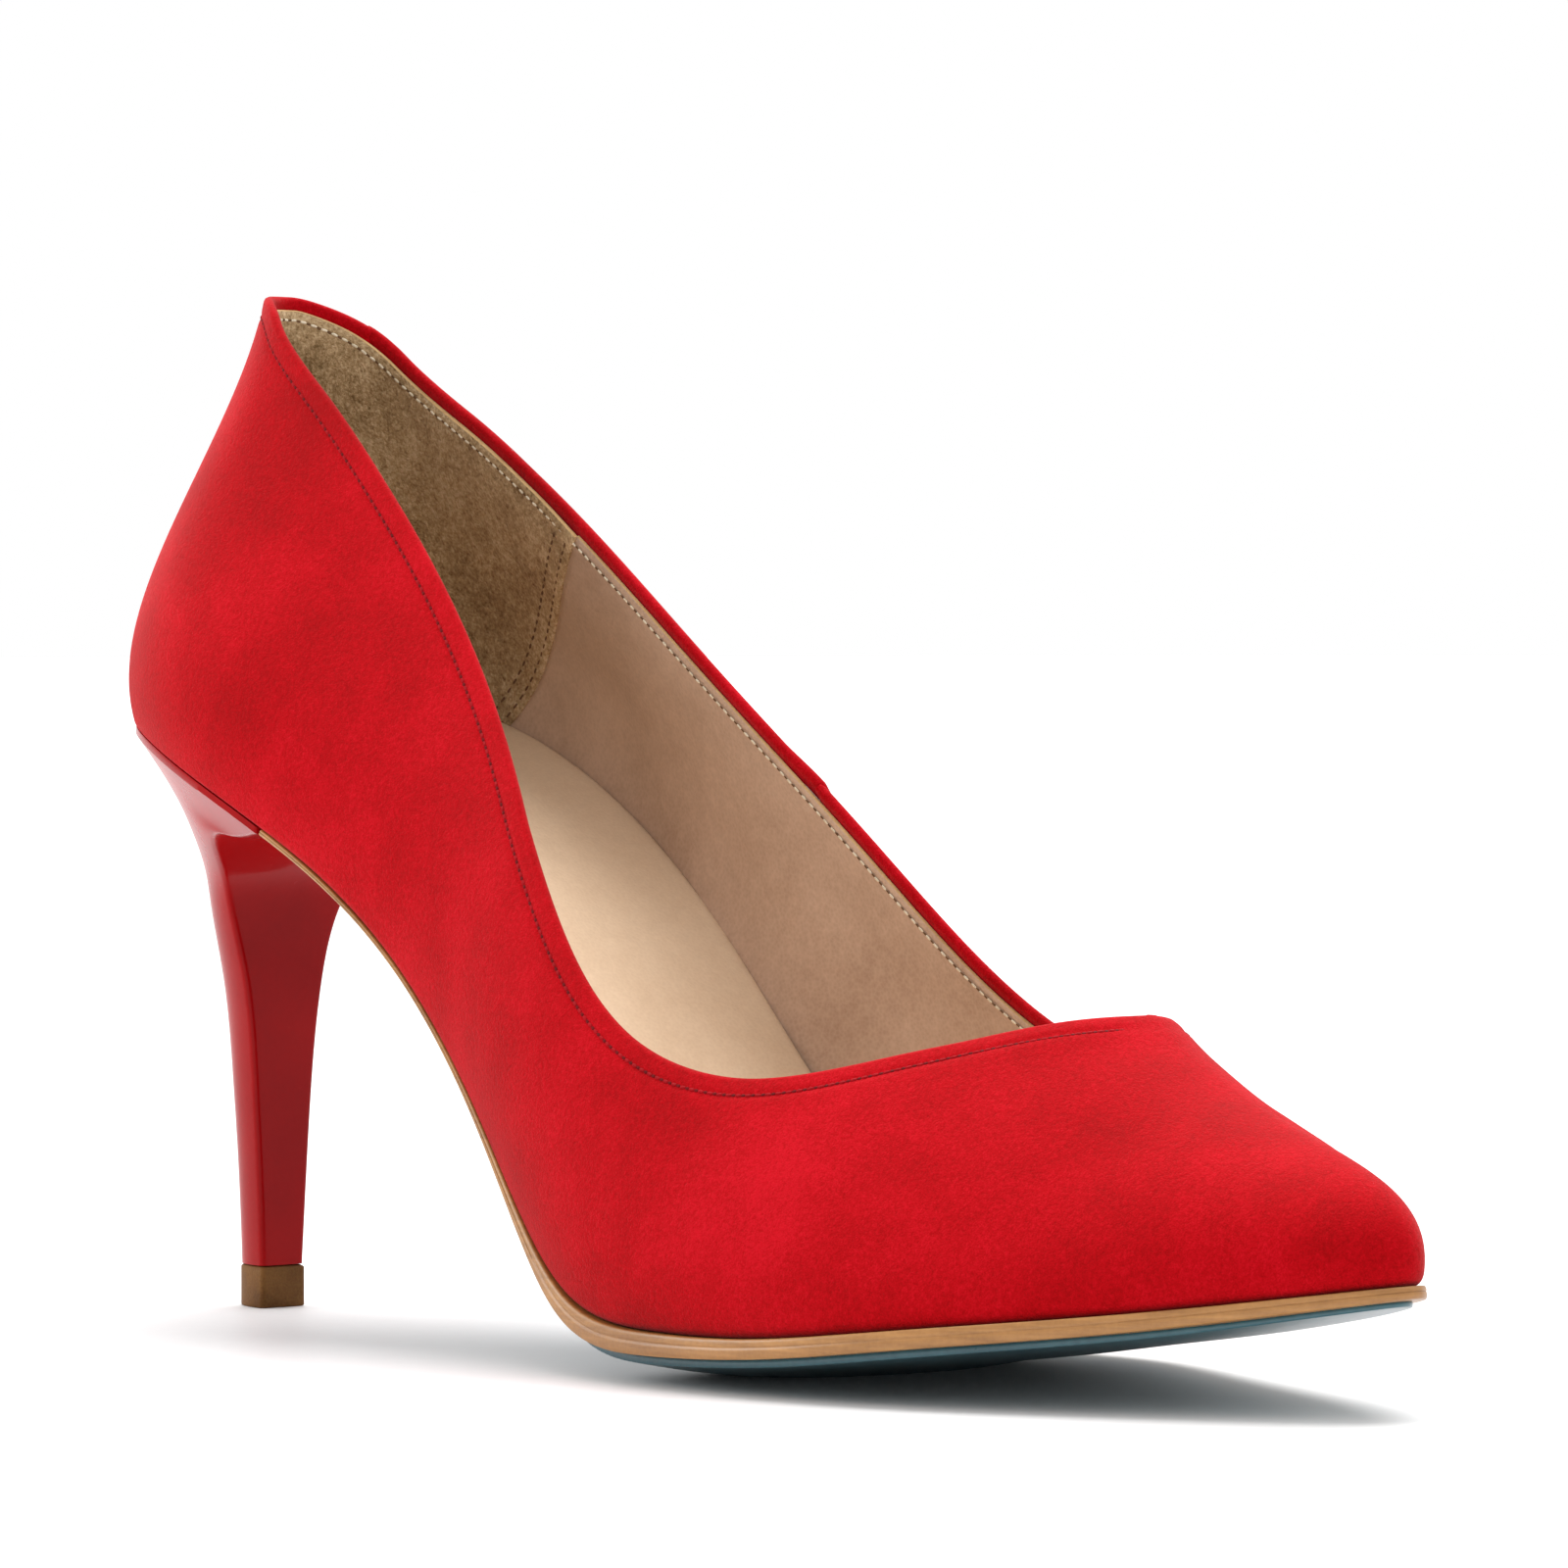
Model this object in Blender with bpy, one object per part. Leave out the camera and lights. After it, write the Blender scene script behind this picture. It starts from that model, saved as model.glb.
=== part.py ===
"""High heel pump, right foot: an assembly of separate sub-parts in one frame.

World axes: +Z up, the toe points to -Y, the inner (medial) side is +X, the floor is z = 0.
The modelling functions work in shoe coordinates, in millimetres: s runs from the back of the
heel to the toe, x is positive on the medial side, z is up.
"""

import bmesh
import bpy
import numpy as np

MM = 0.001

# Plan outline of the feather line (where the upper turns under the insole), as (s, x), from the
# back, along the lateral side to the toe, and back along the medial side.
OUTLINE = (
    (0.0, 0.0), (3.9, -11.7), (14.5, -22.0), (32.2, -29.6), (60.0, -29.8), (94.2, -29.6),
    (123.6, -36.0), (151.3, -38.0), (177.8, -33.4), (204.2, -20.2), (222.5, -9.0), (231.5, 1.8),
    (223.0, 9.2), (202.4, 17.4), (176.0, 26.6), (151.3, 33.8), (125.3, 30.4), (95.3, 25.3),
    (60.3, 28.4), (32.1, 28.8), (13.5, 22.0), (4.3, 11.6),
)
# Height of the feather line above the floor, along s.
FEATHER_Z = (
    (0.0, 80.8), (20.0, 78.6), (40.0, 72.2), (60.0, 62.5), (80.0, 48.2), (100.0, 27.9),
    (120.0, 10.6), (140.0, 6.8), (158.0, 7.1), (180.0, 9.3), (205.0, 12.1), (232.0, 16.0),
)
# How far the middle of the bottom hangs below the feather line.
CROWN = ((0.0, 1.5), (60.0, 1.5), (110.0, 1.2), (148.0, 1.2), (190.0, 0.7), (232.0, 0.2))
# Plan position of the ridge of the last, and the stations where the sections start to fan out.
RIDGE_X = ((0.0, 0.0), (110.0, 1.9), (150.0, 5.0), (190.0, 5.4), (232.0, 1.8))
HEEL_PIVOT = 34.0
TOE_PIVOT = 200.0
PIVOT_BLEND = 8.0
# Side profile of the last: one cubic curve at each station, from the feather line to the ridge.
TOP_REACH = (
    (0.0, 0.595), (40.0, 0.59), (80.0, 0.50), (115.0, 0.73), (145.0, 1.0), (170.0, 1.0),
    (232.0, 1.0),
)
FULL_REACH = 150.0
TOP_Z = (
    (0.0, 140.2), (30.0, 134.2), (60.0, 117.8), (90.0, 96.4), (120.0, 74.6), (145.0, 57.4),
    (165.0, 50.8), (185.0, 43.6), (200.0, 36.3), (232.0, 32.0),
)
TOP_TILT = (
    (0.0, 82.4), (40.0, 80.9), (80.0, 70.9), (115.0, 24.0), (145.0, 0.0), (170.0, 0.0),
    (232.0, 0.0),
)
TOP_PULL = (
    (0.0, 18.2), (60.0, 23.8), (115.0, 26.7), (150.0, 27.9), (180.0, 22.4), (200.0, 17.7),
    (232.0, 16.0),
)
FOOT_SPREAD = (
    (0.0, 16.9), (40.0, 17.5), (80.0, 13.4), (110.0, 19.2), (150.0, 30.0), (190.0, 26.0),
    (232.0, 16.0),
)
FOOT_PULL = (
    (0.0, 16.7), (60.0, 22.3), (110.0, 21.3), (150.0, 15.0), (185.0, 7.0), (205.0, 8.4),
    (232.0, 13.0),
)
# Topline of each side: how far up the section it runs, from the back to the throat on the ridge.
TOPLINE_LATERAL = (
    (0.0, 0.95), (20.0, 0.975), (45.0, 0.94), (70.0, 0.86), (95.0, 0.71), (120.0, 0.53),
    (144.0, 0.50), (168.0, 0.68), (183.0, 1.0),
)
TOPLINE_MEDIAL = (
    (0.0, 0.95), (20.0, 0.91), (45.0, 0.89), (70.0, 0.86), (95.0, 0.79), (120.0, 0.66),
    (144.0, 0.55), (168.0, 0.64), (183.0, 1.0),
)
TOPLINE_SCALE = 60.0

# Columns of the shell meshes. Seams fall between two stations that are one GAP apart.
GAP = 0.3
THROAT = 183.0
GRIP_SEAM = 30.0
BACK_SEAM = 11.0
QUARTER_SEAM = 118.0
COUNTER_SEAM = 70.0
PUFF_SEAM = 196.0
SEAMS = (BACK_SEAM, GRIP_SEAM, COUNTER_SEAM, QUARTER_SEAM, PUFF_SEAM)
STATIONS = (
    0.0, 0.7, 2.6, 6.0, 16.0, 20.5, 25.5, 35.0, 40.0, 46.0, 58.0, 82.0, 94.0, 106.0, 127.0, 136.0,
    145.0, 154.0, 162.0, 169.0, 174.5, 178.5, 181.5, 183.0, 185.5, 190.0, 203.0, 210.0, 217.0,
    223.0, 227.5, 230.3,
)
# How far the columns lean towards the toe between the feather line and the topline.
LEAN_MEDIAL = (
    (0.0, 0.0), (11.0, 3.0), (30.0, 35.0), (50.0, 27.0), (70.0, 15.0), (118.0, -12.0), (145.0, 0.0),
)
LEAN_LATERAL = (
    (0.0, 0.0), (11.0, 3.0), (30.0, 35.0), (50.0, 27.0), (70.0, 15.0), (118.0, -6.0), (145.0, 0.0),
)
MARGIN_ROWS = (10.0, 4.5, 0.0)
MARGIN_SHARE = 0.5
WALL_ROWS = (0.14, 0.34, 0.56, 0.78)
EDGE_STRIP = 2.6
EDGE_ROW = len(MARGIN_ROWS) + len(WALL_ROWS)
WELD = 0.02
FOLD_LIMIT = 1.6
SHARP_ANGLE = 38.0

# Depths of the layers below the outer skin of the upper.
UPPER = (0.0, 0.8)
BACKER = (1.1, 1.5)
LINING = (1.8, 2.3)
INSOLE = (2.6, 4.0)
SOCK = (4.3, 5.1)
SHANK = (0.7, 2.1)
FILLER = (0.3, 2.2)
BOARD_INSET = 3.4
SOCK_INSET = 3.2
SHANK_HALF_WIDTH = 6.0
SHANK_SPAN = (40.0, 136.0)
FILLER_SPAN = (145.0, 203.0)
FILLER_INSET = 11.0

# Sole: how far it stands out past the feather line, edge height, and belly in the middle.
SEAT_FRONT = 52.0
SOLE_START = 54.0
SOLE_OVERHANG = (
    (50.0, -0.5), (100.0, -0.3), (125.0, 0.4), (145.0, 1.0), (205.0, 0.8), (232.0, 0.3),
)
SOLE_EDGE = (
    (50.0, 0.6), (100.0, 0.9), (114.0, 1.7), (125.0, 2.6), (136.0, 2.7), (148.0, 2.4), (205.0, 1.9),
    (232.0, 1.3),
)
SOLE_BELLY = ((50.0, 0.5), (110.0, 0.3), (148.0, 0.3), (190.0, 0.3), (232.0, 0.1))
TREAD_INSET = 2.4
TREAD_EDGE = ((50.0, 0.5), (110.0, 0.6), (205.0, 0.5), (232.0, 0.3))
TREAD_MIDDLE = (
    (50.0, 0.7), (110.0, 1.0), (121.0, 2.0), (128.0, 3.3), (138.0, 3.4), (146.0, 2.6),
    (154.0, 1.4), (165.0, 0.9), (192.0, 0.5), (232.0, 0.4),
)
RINGS = (0.0, 0.3, 0.65, 1.0)
BOARD_RINGS = (0.0, 0.5, 1.0)

# Heel: horizontal cuts as (height, back, front, width, squareness) and the seat lip.
TIP_TOP = 5.5
HEEL_CUTS = (
    (TIP_TOP + GAP, 10.4, 18.4, 7.2, 1.0), (20.0, 9.9, 18.6, 8.7, 1.0),
    (31.0, 9.2, 18.7, 10.2, 1.0), (44.5, 7.9, 18.9, 13.4, 1.05), (55.0, 6.4, 19.4, 19.4, 1.15),
    (60.0, 5.6, 22.6, 27.0, 1.35), (64.5, 4.8, 31.0, 43.0, 1.5),
)
HEEL_LIP = 0.8
HEEL_RINGS = (0.0, 0.35, 0.7, 1.0)
SEAT_DROP = 1.15
SEAT_STEP = 14.0
FLARE_SHARE = 0.43
HEEL_LEVELS = (
    78.5, 76.5, 74.0, 71.0, 67.5, 64.5, 62.2, 60.0, 57.5, 55.0, 50.0, 44.5, 38.0, 31.0, 20.0, 5.8,
)
TIP_PROUD = 0.15
TIP_STEPS = 25
BORE_CENTRE = (14.4, 0.0)
BORE_RADIUS = 2.2
BORE_TOP = 58.0
TUBE_RADII = (1.25, 1.9)
PIN_RADIUS = 0.95
PIN_SPAN = (2.5, 16.0)
SCREW_AT = (24.0, 0.0)
NAILS_AT = ((17.0, -6.5), (17.0, 6.5), (23.5, -11.5), (23.5, 11.5))
SCREW_SIZE = (2.0, 3.6, 1.1, 14.0)
NAIL_SIZE = (0.9, 1.9, 0.8, 12.0)
FIXINGS = ((SCREW_AT, SCREW_SIZE), *((at, NAIL_SIZE) for at in NAILS_AT))
HOLE_CLEARANCE = 0.35
ROUND_STEPS = 16

SUEDE = ((0.60, 0.012, 0.020), 0.85, 0.0)
COTTON = ((0.72, 0.70, 0.66), 0.9, 0.0)
FIBREBOARD = ((0.45, 0.33, 0.20), 0.85, 0.0)
STIFFENER = ((0.62, 0.58, 0.50), 0.8, 0.0)
LINING_LEATHER = ((0.42, 0.25, 0.17), 0.45, 0.0)
GRIP_SUEDE = ((0.25, 0.15, 0.08), 0.95, 0.0)
SOCK_LEATHER = ((0.66, 0.46, 0.29), 0.5, 0.0)
STEEL = ((0.55, 0.55, 0.56), 0.35, 1.0)
CORK = ((0.36, 0.22, 0.11), 0.9, 0.0)
SOLE_TAN = ((0.49, 0.26, 0.09), 0.5, 0.0)
SOLE_TEAL = ((0.03, 0.10, 0.13), 0.5, 0.0)
HEEL_LACQUER = ((0.33, 0.010, 0.014), 0.15, 0.0)
TIP_RUBBER = ((0.21, 0.11, 0.04), 0.55, 0.0)


def natural(knots):
    """Natural cubic spline through (position, value) knots."""
    x, y = np.array(knots, float).T
    h = np.diff(x)
    count = len(x)
    matrix = np.eye(count)
    right = np.zeros(count)
    for i in range(1, count - 1):
        matrix[i, i - 1 : i + 2] = h[i - 1], 2 * (h[i - 1] + h[i]), h[i]
        right[i] = 6 * ((y[i + 1] - y[i]) / h[i] - (y[i] - y[i - 1]) / h[i - 1])
    bend = np.linalg.solve(matrix, right)

    def value(at):
        at = np.clip(np.asarray(at, float), x[0], x[-1])
        i = np.clip(np.searchsorted(x, at) - 1, 0, count - 2)
        low = at - x[i]
        high = x[i + 1] - at
        curve = (bend[i] * high**3 + bend[i + 1] * low**3) / (6 * h[i])
        return (
            curve
            + (y[i] / h[i] - bend[i] * h[i] / 6) * high
            + (y[i + 1] / h[i] - bend[i + 1] * h[i] / 6) * low
        )

    return value


def closed_curve(points, steps=720):
    """Dense closed curve through plan points, by chord length."""
    loop = np.array(points, float)
    thrice = np.vstack([loop, loop, loop, loop[:1]])
    chord = np.concatenate([[0], np.cumsum(np.linalg.norm(np.diff(thrice, axis=0), axis=1))])
    at = np.linspace(chord[len(loop)], chord[2 * len(loop)], steps + 1)
    return np.stack([natural(np.c_[chord, thrice[:, k]])(at) for k in (0, 1)], axis=1)


PLAN = closed_curve(OUTLINE)
TIP_INDEX = int(np.argmax(PLAN[:, 0]))
TOE = float(PLAN[TIP_INDEX, 0])
HALVES = {-1: PLAN[: TIP_INDEX + 1], 1: PLAN[TIP_INDEX:][::-1]}
feather_z = natural(FEATHER_Z)
crown = natural(CROWN)
ridge_x = natural(RIDGE_X)
top_reach = natural(TOP_REACH)
top_z = natural(TOP_Z)
top_tilt = natural(TOP_TILT)
top_pull = natural(TOP_PULL)
foot_spread = natural(FOOT_SPREAD)
foot_pull = natural(FOOT_PULL)


def topline_of(side):
    """(station, height up the section) along one side's topline, smooth through back and throat."""
    own = np.array(TOPLINE_MEDIAL if side > 0 else TOPLINE_LATERAL)
    other = np.array(TOPLINE_LATERAL if side > 0 else TOPLINE_MEDIAL)
    over = np.c_[other[:, 0], 2 - other[:, 1]][::-1][1:]
    loop = np.vstack([own, over]) * (1.0, TOPLINE_SCALE)
    chord = np.concatenate([[0], np.cumsum(np.linalg.norm(np.diff(loop, axis=0), axis=1))])
    at = np.linspace(0, chord[len(own) - 1], 400)
    s, v = (natural(np.c_[chord, loop[:, k]])(at) for k in (0, 1))
    return s, v / TOPLINE_SCALE


TOPLINES = {side: topline_of(side) for side in (-1, 1)}


def top_height(side, s):
    """How far up the section the upper reaches at a station: the topline, or the ridge."""
    return np.interp(s, *TOPLINES[side], right=1.0)


def outline_x(side, s):
    half = HALVES[side]
    return np.interp(s, half[:, 0], half[:, 1])


def axis_station(s):
    """Where the section through an outline station meets the middle line."""
    s = np.asarray(s, float)
    late = HEEL_PIVOT + (s - HEEL_PIVOT + PIVOT_BLEND) ** 2 / (4 * PIVOT_BLEND)
    near = np.where(s < HEEL_PIVOT - PIVOT_BLEND, HEEL_PIVOT, late)
    near = np.where(s > HEEL_PIVOT + PIVOT_BLEND, s, near)
    early = s - (s - TOE_PIVOT + PIVOT_BLEND) ** 2 / (4 * PIVOT_BLEND)
    near = np.where(s > TOE_PIVOT - PIVOT_BLEND, early, near)
    return np.where(s > TOE_PIVOT + PIVOT_BLEND, TOE_PIVOT, near)


def inward(side, s):
    """Plan point, unit vector to the middle line, and distance to it, at outline stations."""
    start = np.stack([s, outline_x(side, s)], axis=-1)
    middle = axis_station(s)
    way = np.stack([middle, ridge_x(middle)], axis=-1) - start
    reach = np.linalg.norm(way, axis=-1)
    return start, way / reach[..., None], reach


def section(side, s, v):
    """Outer skin of the upper at stations s and heights v up the section (arrays alike)."""
    s = np.asarray(s, float)
    start, way, reach = inward(side, s)
    ridge_s = np.where(s > TOE_PIVOT - PIVOT_BLEND, axis_station(s), s)
    slope = (top_z(ridge_s + 1) - top_z(ridge_s - 1)) / 2
    tilt = np.radians(top_tilt(s))
    spread = np.radians(foot_spread(s))
    pull = np.minimum(top_pull(s), 0.8 * reach)
    base = feather_z(s)
    share = np.where(s > FULL_REACH, 1, np.minimum(top_reach(s), 1))
    across = [0 * s, -foot_pull(s) * np.sin(spread), 0, share * reach]
    height = [base, base + foot_pull(s) * np.cos(spread), 0, top_z(ridge_s)]
    across[2] = across[3] - pull * np.cos(tilt)
    height[2] = height[3] - pull * (np.sin(tilt) + np.cos(tilt) * slope * way[..., 0])
    weights = ((1 - v) ** 3, 3 * v * (1 - v) ** 2, 3 * v * v * (1 - v), v**3)
    run = sum(w * a for w, a in zip(weights, across))
    rise = sum(w * h for w, h in zip(weights, height))
    plan = start + run[..., None] * way
    return np.concatenate([plan, rise[..., None]], axis=-1)


def under(side, s, run):
    """Bottom skin at a distance `run` in from the outline station s (negative is outside)."""
    s = np.asarray(s, float)
    start, way, reach = inward(side, s)
    plan = start + run[..., None] * way
    share = 1 - run / reach
    z = feather_z(plan[..., 0]) - crown(plan[..., 0]) * (1 - share**2)
    return np.concatenate([plan, z[..., None]], axis=-1)


def columns():
    """Closed list of (side, station): lateral side to the toe, then back along the medial side."""
    found = set(STATIONS) | {s + k * GAP / 2 for s in SEAMS for k in (-1, 1)}
    found |= {SEAT_FRONT, SOLE_START, TOE}
    found = sorted(found)
    medial = [(1, s) for s in reversed(found) if 0 < s < TOE]
    return [(-1, s) for s in found] + medial


def lean(side, s):
    return natural(LEAN_MEDIAL if side > 0 else LEAN_LATERAL)(s)


def upper_column(side, s):
    """Points of one column of the upper, from the margin's inner edge to the topline or ridge."""
    wide = min(1.0, MARGIN_SHARE * float(inward(side, np.array(s))[2]) / MARGIN_ROWS[0])
    margin = [under(side, s, np.array(run * wide)) for run in MARGIN_ROWS]
    top_s = s + lean(side, s)
    up = np.linspace(0, 1, 41)
    path = section(side, s + (top_s - s) * up, up * top_height(side, top_s))
    length = np.concatenate([[0], np.cumsum(np.linalg.norm(np.diff(path, axis=0), axis=1))])
    strip = length[-1] - EDGE_STRIP
    where = [share * strip for share in WALL_ROWS] + [strip, length[-1]]
    wall = np.stack([np.interp(where, length, path[:, k]) for k in range(3)], axis=1)
    return np.vstack([margin, wall])


def grid_faces(cols, rows):
    """Triangles between neighbouring columns, tagged with (side, station, row).

    Every sheet splits its quads the same way, so that its layers stay parallel.
    """
    faces = []
    toe = max(range(len(cols)), key=lambda i: cols[i][1])
    for i in range(len(cols)):
        j = (i + 1) % len(cols)
        side = -1 if i < toe else 1
        middle = (cols[i][1] + cols[j][1]) / 2
        for r in range(rows - 1):
            a, b = i * rows + r, j * rows + r
            faces.append(((side, middle, r), [a, a + 1, b + 1]))
            faces.append(((side, middle, r), [a, b + 1, b]))
    return faces


def weld(points, faces):
    """Merges points that coincide and drops the faces that collapse; also the points kept."""
    keys = np.round(points / WELD).astype(int)
    _, first, index = np.unique(keys, axis=0, return_index=True, return_inverse=True)
    index = index.reshape(-1)
    kept = []
    for tag, face in faces:
        ring = [int(index[k]) for k in face]
        ring = [a for a, b in zip(ring, ring[1:] + ring[:1]) if a != b]
        if len(set(ring)) > 2:
            kept.append((tag, ring))
    return points[first], kept, first


def thick_normals(points, faces):
    """Vertex normals, lengthened so that an offset keeps the sheet's thickness at a fold."""
    mesh = bmesh.new()
    verts = [mesh.verts.new(p) for p in points]
    for _, face in faces:
        mesh.faces.new([verts[k] for k in face])
    mesh.normal_update()
    found = np.array([v.normal for v in verts])
    stretch = np.nan_to_num([v.calc_shell_factor() for v in verts], nan=1.0)
    mesh.free()
    return found * np.clip(stretch, 1, FOLD_LIMIT)[:, None]


def upper_sheet():
    """Outer skin of the whole upper: points, outward normals, and faces tagged by place."""
    cols = columns()
    grid = np.array([upper_column(side, s) for side, s in cols])
    points, faces, _ = weld(grid.reshape(-1, 3), grid_faces(cols, grid.shape[1]))
    return points, -thick_normals(points, faces), faces


def bed_sheet(outer, rings):
    """Bottom skin, as rings from outer(side, s, reach) in from the feather to the middle line.

    Gives points, downward normals, tagged faces, and how far in each point lies (0 to 1).
    """
    cols = columns()
    grid = []
    shares = []
    for side, s in cols:
        reach = float(inward(side, np.array(s))[2])
        start = outer(side, s, reach)
        run = start + (reach - start) * np.array(rings)
        grid.append([under(side, s, np.array(r)) for r in run])
        shares.append(run / reach)
    flat = np.array(grid).reshape(-1, 3)
    points, faces, first = weld(flat, grid_faces(cols, len(rings)))
    share = np.clip(np.array(shares).reshape(-1)[first], 0, 1)
    normals = thick_normals(points, faces)
    return points, normals * np.sign(-normals[:, 2:]), faces, share


def material(name, look):
    colour, roughness, metallic = look
    made = bpy.data.materials.new(name)
    made.use_nodes = True
    shader = made.node_tree.nodes["Principled BSDF"]
    shader.inputs["Base Color"].default_value = (*colour, 1.0)
    shader.inputs["Roughness"].default_value = roughness
    shader.inputs["Metallic"].default_value = metallic
    made.diffuse_color = (*colour, 1.0)
    return made


def add(name, points, faces, look):
    """Makes one object from shoe-coordinate points in millimetres."""
    world = np.c_[points[:, 1], -points[:, 0], points[:, 2]] * MM
    mesh = bpy.data.meshes.new(name)
    mesh.from_pydata(world.tolist(), [], faces)
    tidy = bmesh.new()
    tidy.from_mesh(mesh)
    bmesh.ops.recalc_face_normals(tidy, faces=tidy.faces)
    tidy.to_mesh(mesh)
    tidy.free()
    mesh.materials.append(material(name, look))
    mesh.shade_smooth()
    mesh.set_sharp_from_angle(angle=np.radians(SHARP_ANGLE))
    made = bpy.data.objects.new(name, mesh)
    bpy.context.scene.collection.objects.link(made)
    return made


def slab(name, outer, inner, faces, look):
    """Closed solid between two copies of a sheet: the same faces, and walls on its open edges."""
    used = sorted({k for face in faces for k in face})
    index = {k: i for i, k in enumerate(used)}
    count = len(used)
    front = [[index[k] for k in face] for face in faces]
    edges = {(a, b) for face in front for a, b in zip(face, face[1:] + face[:1])}
    walls = [[b, a, a + count, b + count] for a, b in sorted(edges) if (b, a) not in edges]
    back = [[k + count for k in reversed(face)] for face in front]
    return add(name, np.vstack([outer[used], inner[used]]), front + back + walls, look)


def shell(name, sheet, depths, keep, look):
    """A piece of the upper between two depths under its skin, from the faces `keep` picks."""
    points, normals, faces = sheet
    chosen = [face for tag, face in faces if keep(*tag)]
    return slab(name, points - normals * depths[0], points - normals * depths[1], chosen, look)


def build_upper(sheet):
    """Suede: the vamp in one with the lateral quarter and the back, and the medial quarter."""

    def inner_quarter(side, s, row):
        return side > 0 and BACK_SEAM + GAP / 2 < s < QUARTER_SEAM - GAP / 2

    def outer_piece(side, s, row):
        return side < 0 or not BACK_SEAM - GAP / 2 < s < QUARTER_SEAM + GAP / 2

    shell("vamp_and_outer_quarter", sheet, UPPER, outer_piece, SUEDE)
    shell("inner_quarter", sheet, UPPER, inner_quarter, SUEDE)


def below_edge(s, row):
    """True away from the folded edge strip, which the layers behind the suede stop short of."""
    return row < EDGE_ROW or s > THROAT + EDGE_STRIP / 2


def build_backing(sheet):
    """Stiffeners and interlinings between the suede and the lining."""

    def counter(side, s, row):
        return s < COUNTER_SEAM - GAP / 2 and below_edge(s, row)

    def outer_quarter(side, s, row):
        return side < 0 and COUNTER_SEAM + GAP / 2 < s < QUARTER_SEAM - GAP / 2 and below_edge(s, row)

    def inner_quarter(side, s, row):
        return side > 0 and COUNTER_SEAM + GAP / 2 < s < QUARTER_SEAM - GAP / 2 and below_edge(s, row)

    def vamp(side, s, row):
        return QUARTER_SEAM + GAP / 2 < s < PUFF_SEAM - GAP / 2 and below_edge(s, row)

    def puff(side, s, row):
        return s > PUFF_SEAM + GAP / 2

    shell("heel_counter", sheet, BACKER, counter, STIFFENER)
    shell("outer_quarter_backer", sheet, BACKER, outer_quarter, COTTON)
    shell("inner_quarter_backer", sheet, BACKER, inner_quarter, COTTON)
    shell("vamp_backer", sheet, BACKER, vamp, COTTON)
    shell("toe_puff", sheet, BACKER, puff, STIFFENER)


def build_lining(sheet):
    """Leather lining in front and along both sides, suede heel grip behind."""

    def front(side, s, row):
        return s > GRIP_SEAM + GAP / 2 and below_edge(s, row)

    def grip(side, s, row):
        return s < GRIP_SEAM - GAP / 2 and below_edge(s, row)

    shell("vamp_lining", sheet, LINING, front, LINING_LEATHER)
    shell("heel_grip_lining", sheet, LINING, grip, GRIP_SUEDE)


def bed(name, outer, depths, look, span=(-1.0, 1000.0), rings=RINGS):
    """A piece lying along the bottom skin between two depths above it."""
    points, down, faces, _ = bed_sheet(outer, rings)
    chosen = [face for (_, s, _), face in faces if span[0] < s < span[1]]
    return slab(name, points - down * depths[0], points - down * depths[1], chosen, look)


def cut(target, cutters):
    """Boolean difference by one helper object made of separate closed cylinders."""
    points = []
    faces = []
    for (s, x), radius, low, high in cutters:
        turn = np.arange(ROUND_STEPS) * 2 * np.pi / ROUND_STEPS
        ring = np.c_[s + radius * np.cos(turn), x + radius * np.sin(turn)]
        base = len(points)
        points += [(*p, low) for p in ring] + [(*p, high) for p in ring]
        around = [(base + k, base + (k + 1) % ROUND_STEPS) for k in range(ROUND_STEPS)]
        faces += [[a, b, b + ROUND_STEPS, a + ROUND_STEPS] for a, b in around]
        faces.append([a for a, _ in around])
        faces.append([a + ROUND_STEPS for a, _ in reversed(around)])
    helper = add(f"cut_{target.name}", np.array(points), faces, FIBREBOARD)
    helper.hide_render = True
    helper.display_type = "WIRE"
    holes = target.modifiers.new("holes", "BOOLEAN")
    holes.operation = "DIFFERENCE"
    holes.solver = "EXACT"
    holes.object = helper


def inset(distance, most=0.8):
    return lambda side, s, reach: min(distance, most * reach)


def build_insole():
    """Insole board, sock, steel shank and forepart filler."""
    board = bed("insole_board", inset(BOARD_INSET), INSOLE, FIBREBOARD, rings=BOARD_RINGS)
    cut(board, [(at, size[1] + HOLE_CLEARANCE, 60.0, 100.0) for at, size in FIXINGS])
    bed("sock_lining", inset(SOCK_INSET), SOCK, SOCK_LEATHER, rings=BOARD_RINGS)

    def shank_edge(side, s, reach):
        return reach - SHANK_HALF_WIDTH

    bed("steel_shank", shank_edge, SHANK, STEEL, SHANK_SPAN, (0.0, 0.5, 1.0))
    bed("bottom_filler", inset(FILLER_INSET, 0.62), FILLER, CORK, FILLER_SPAN, (0.0, 0.5, 1.0))


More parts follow.
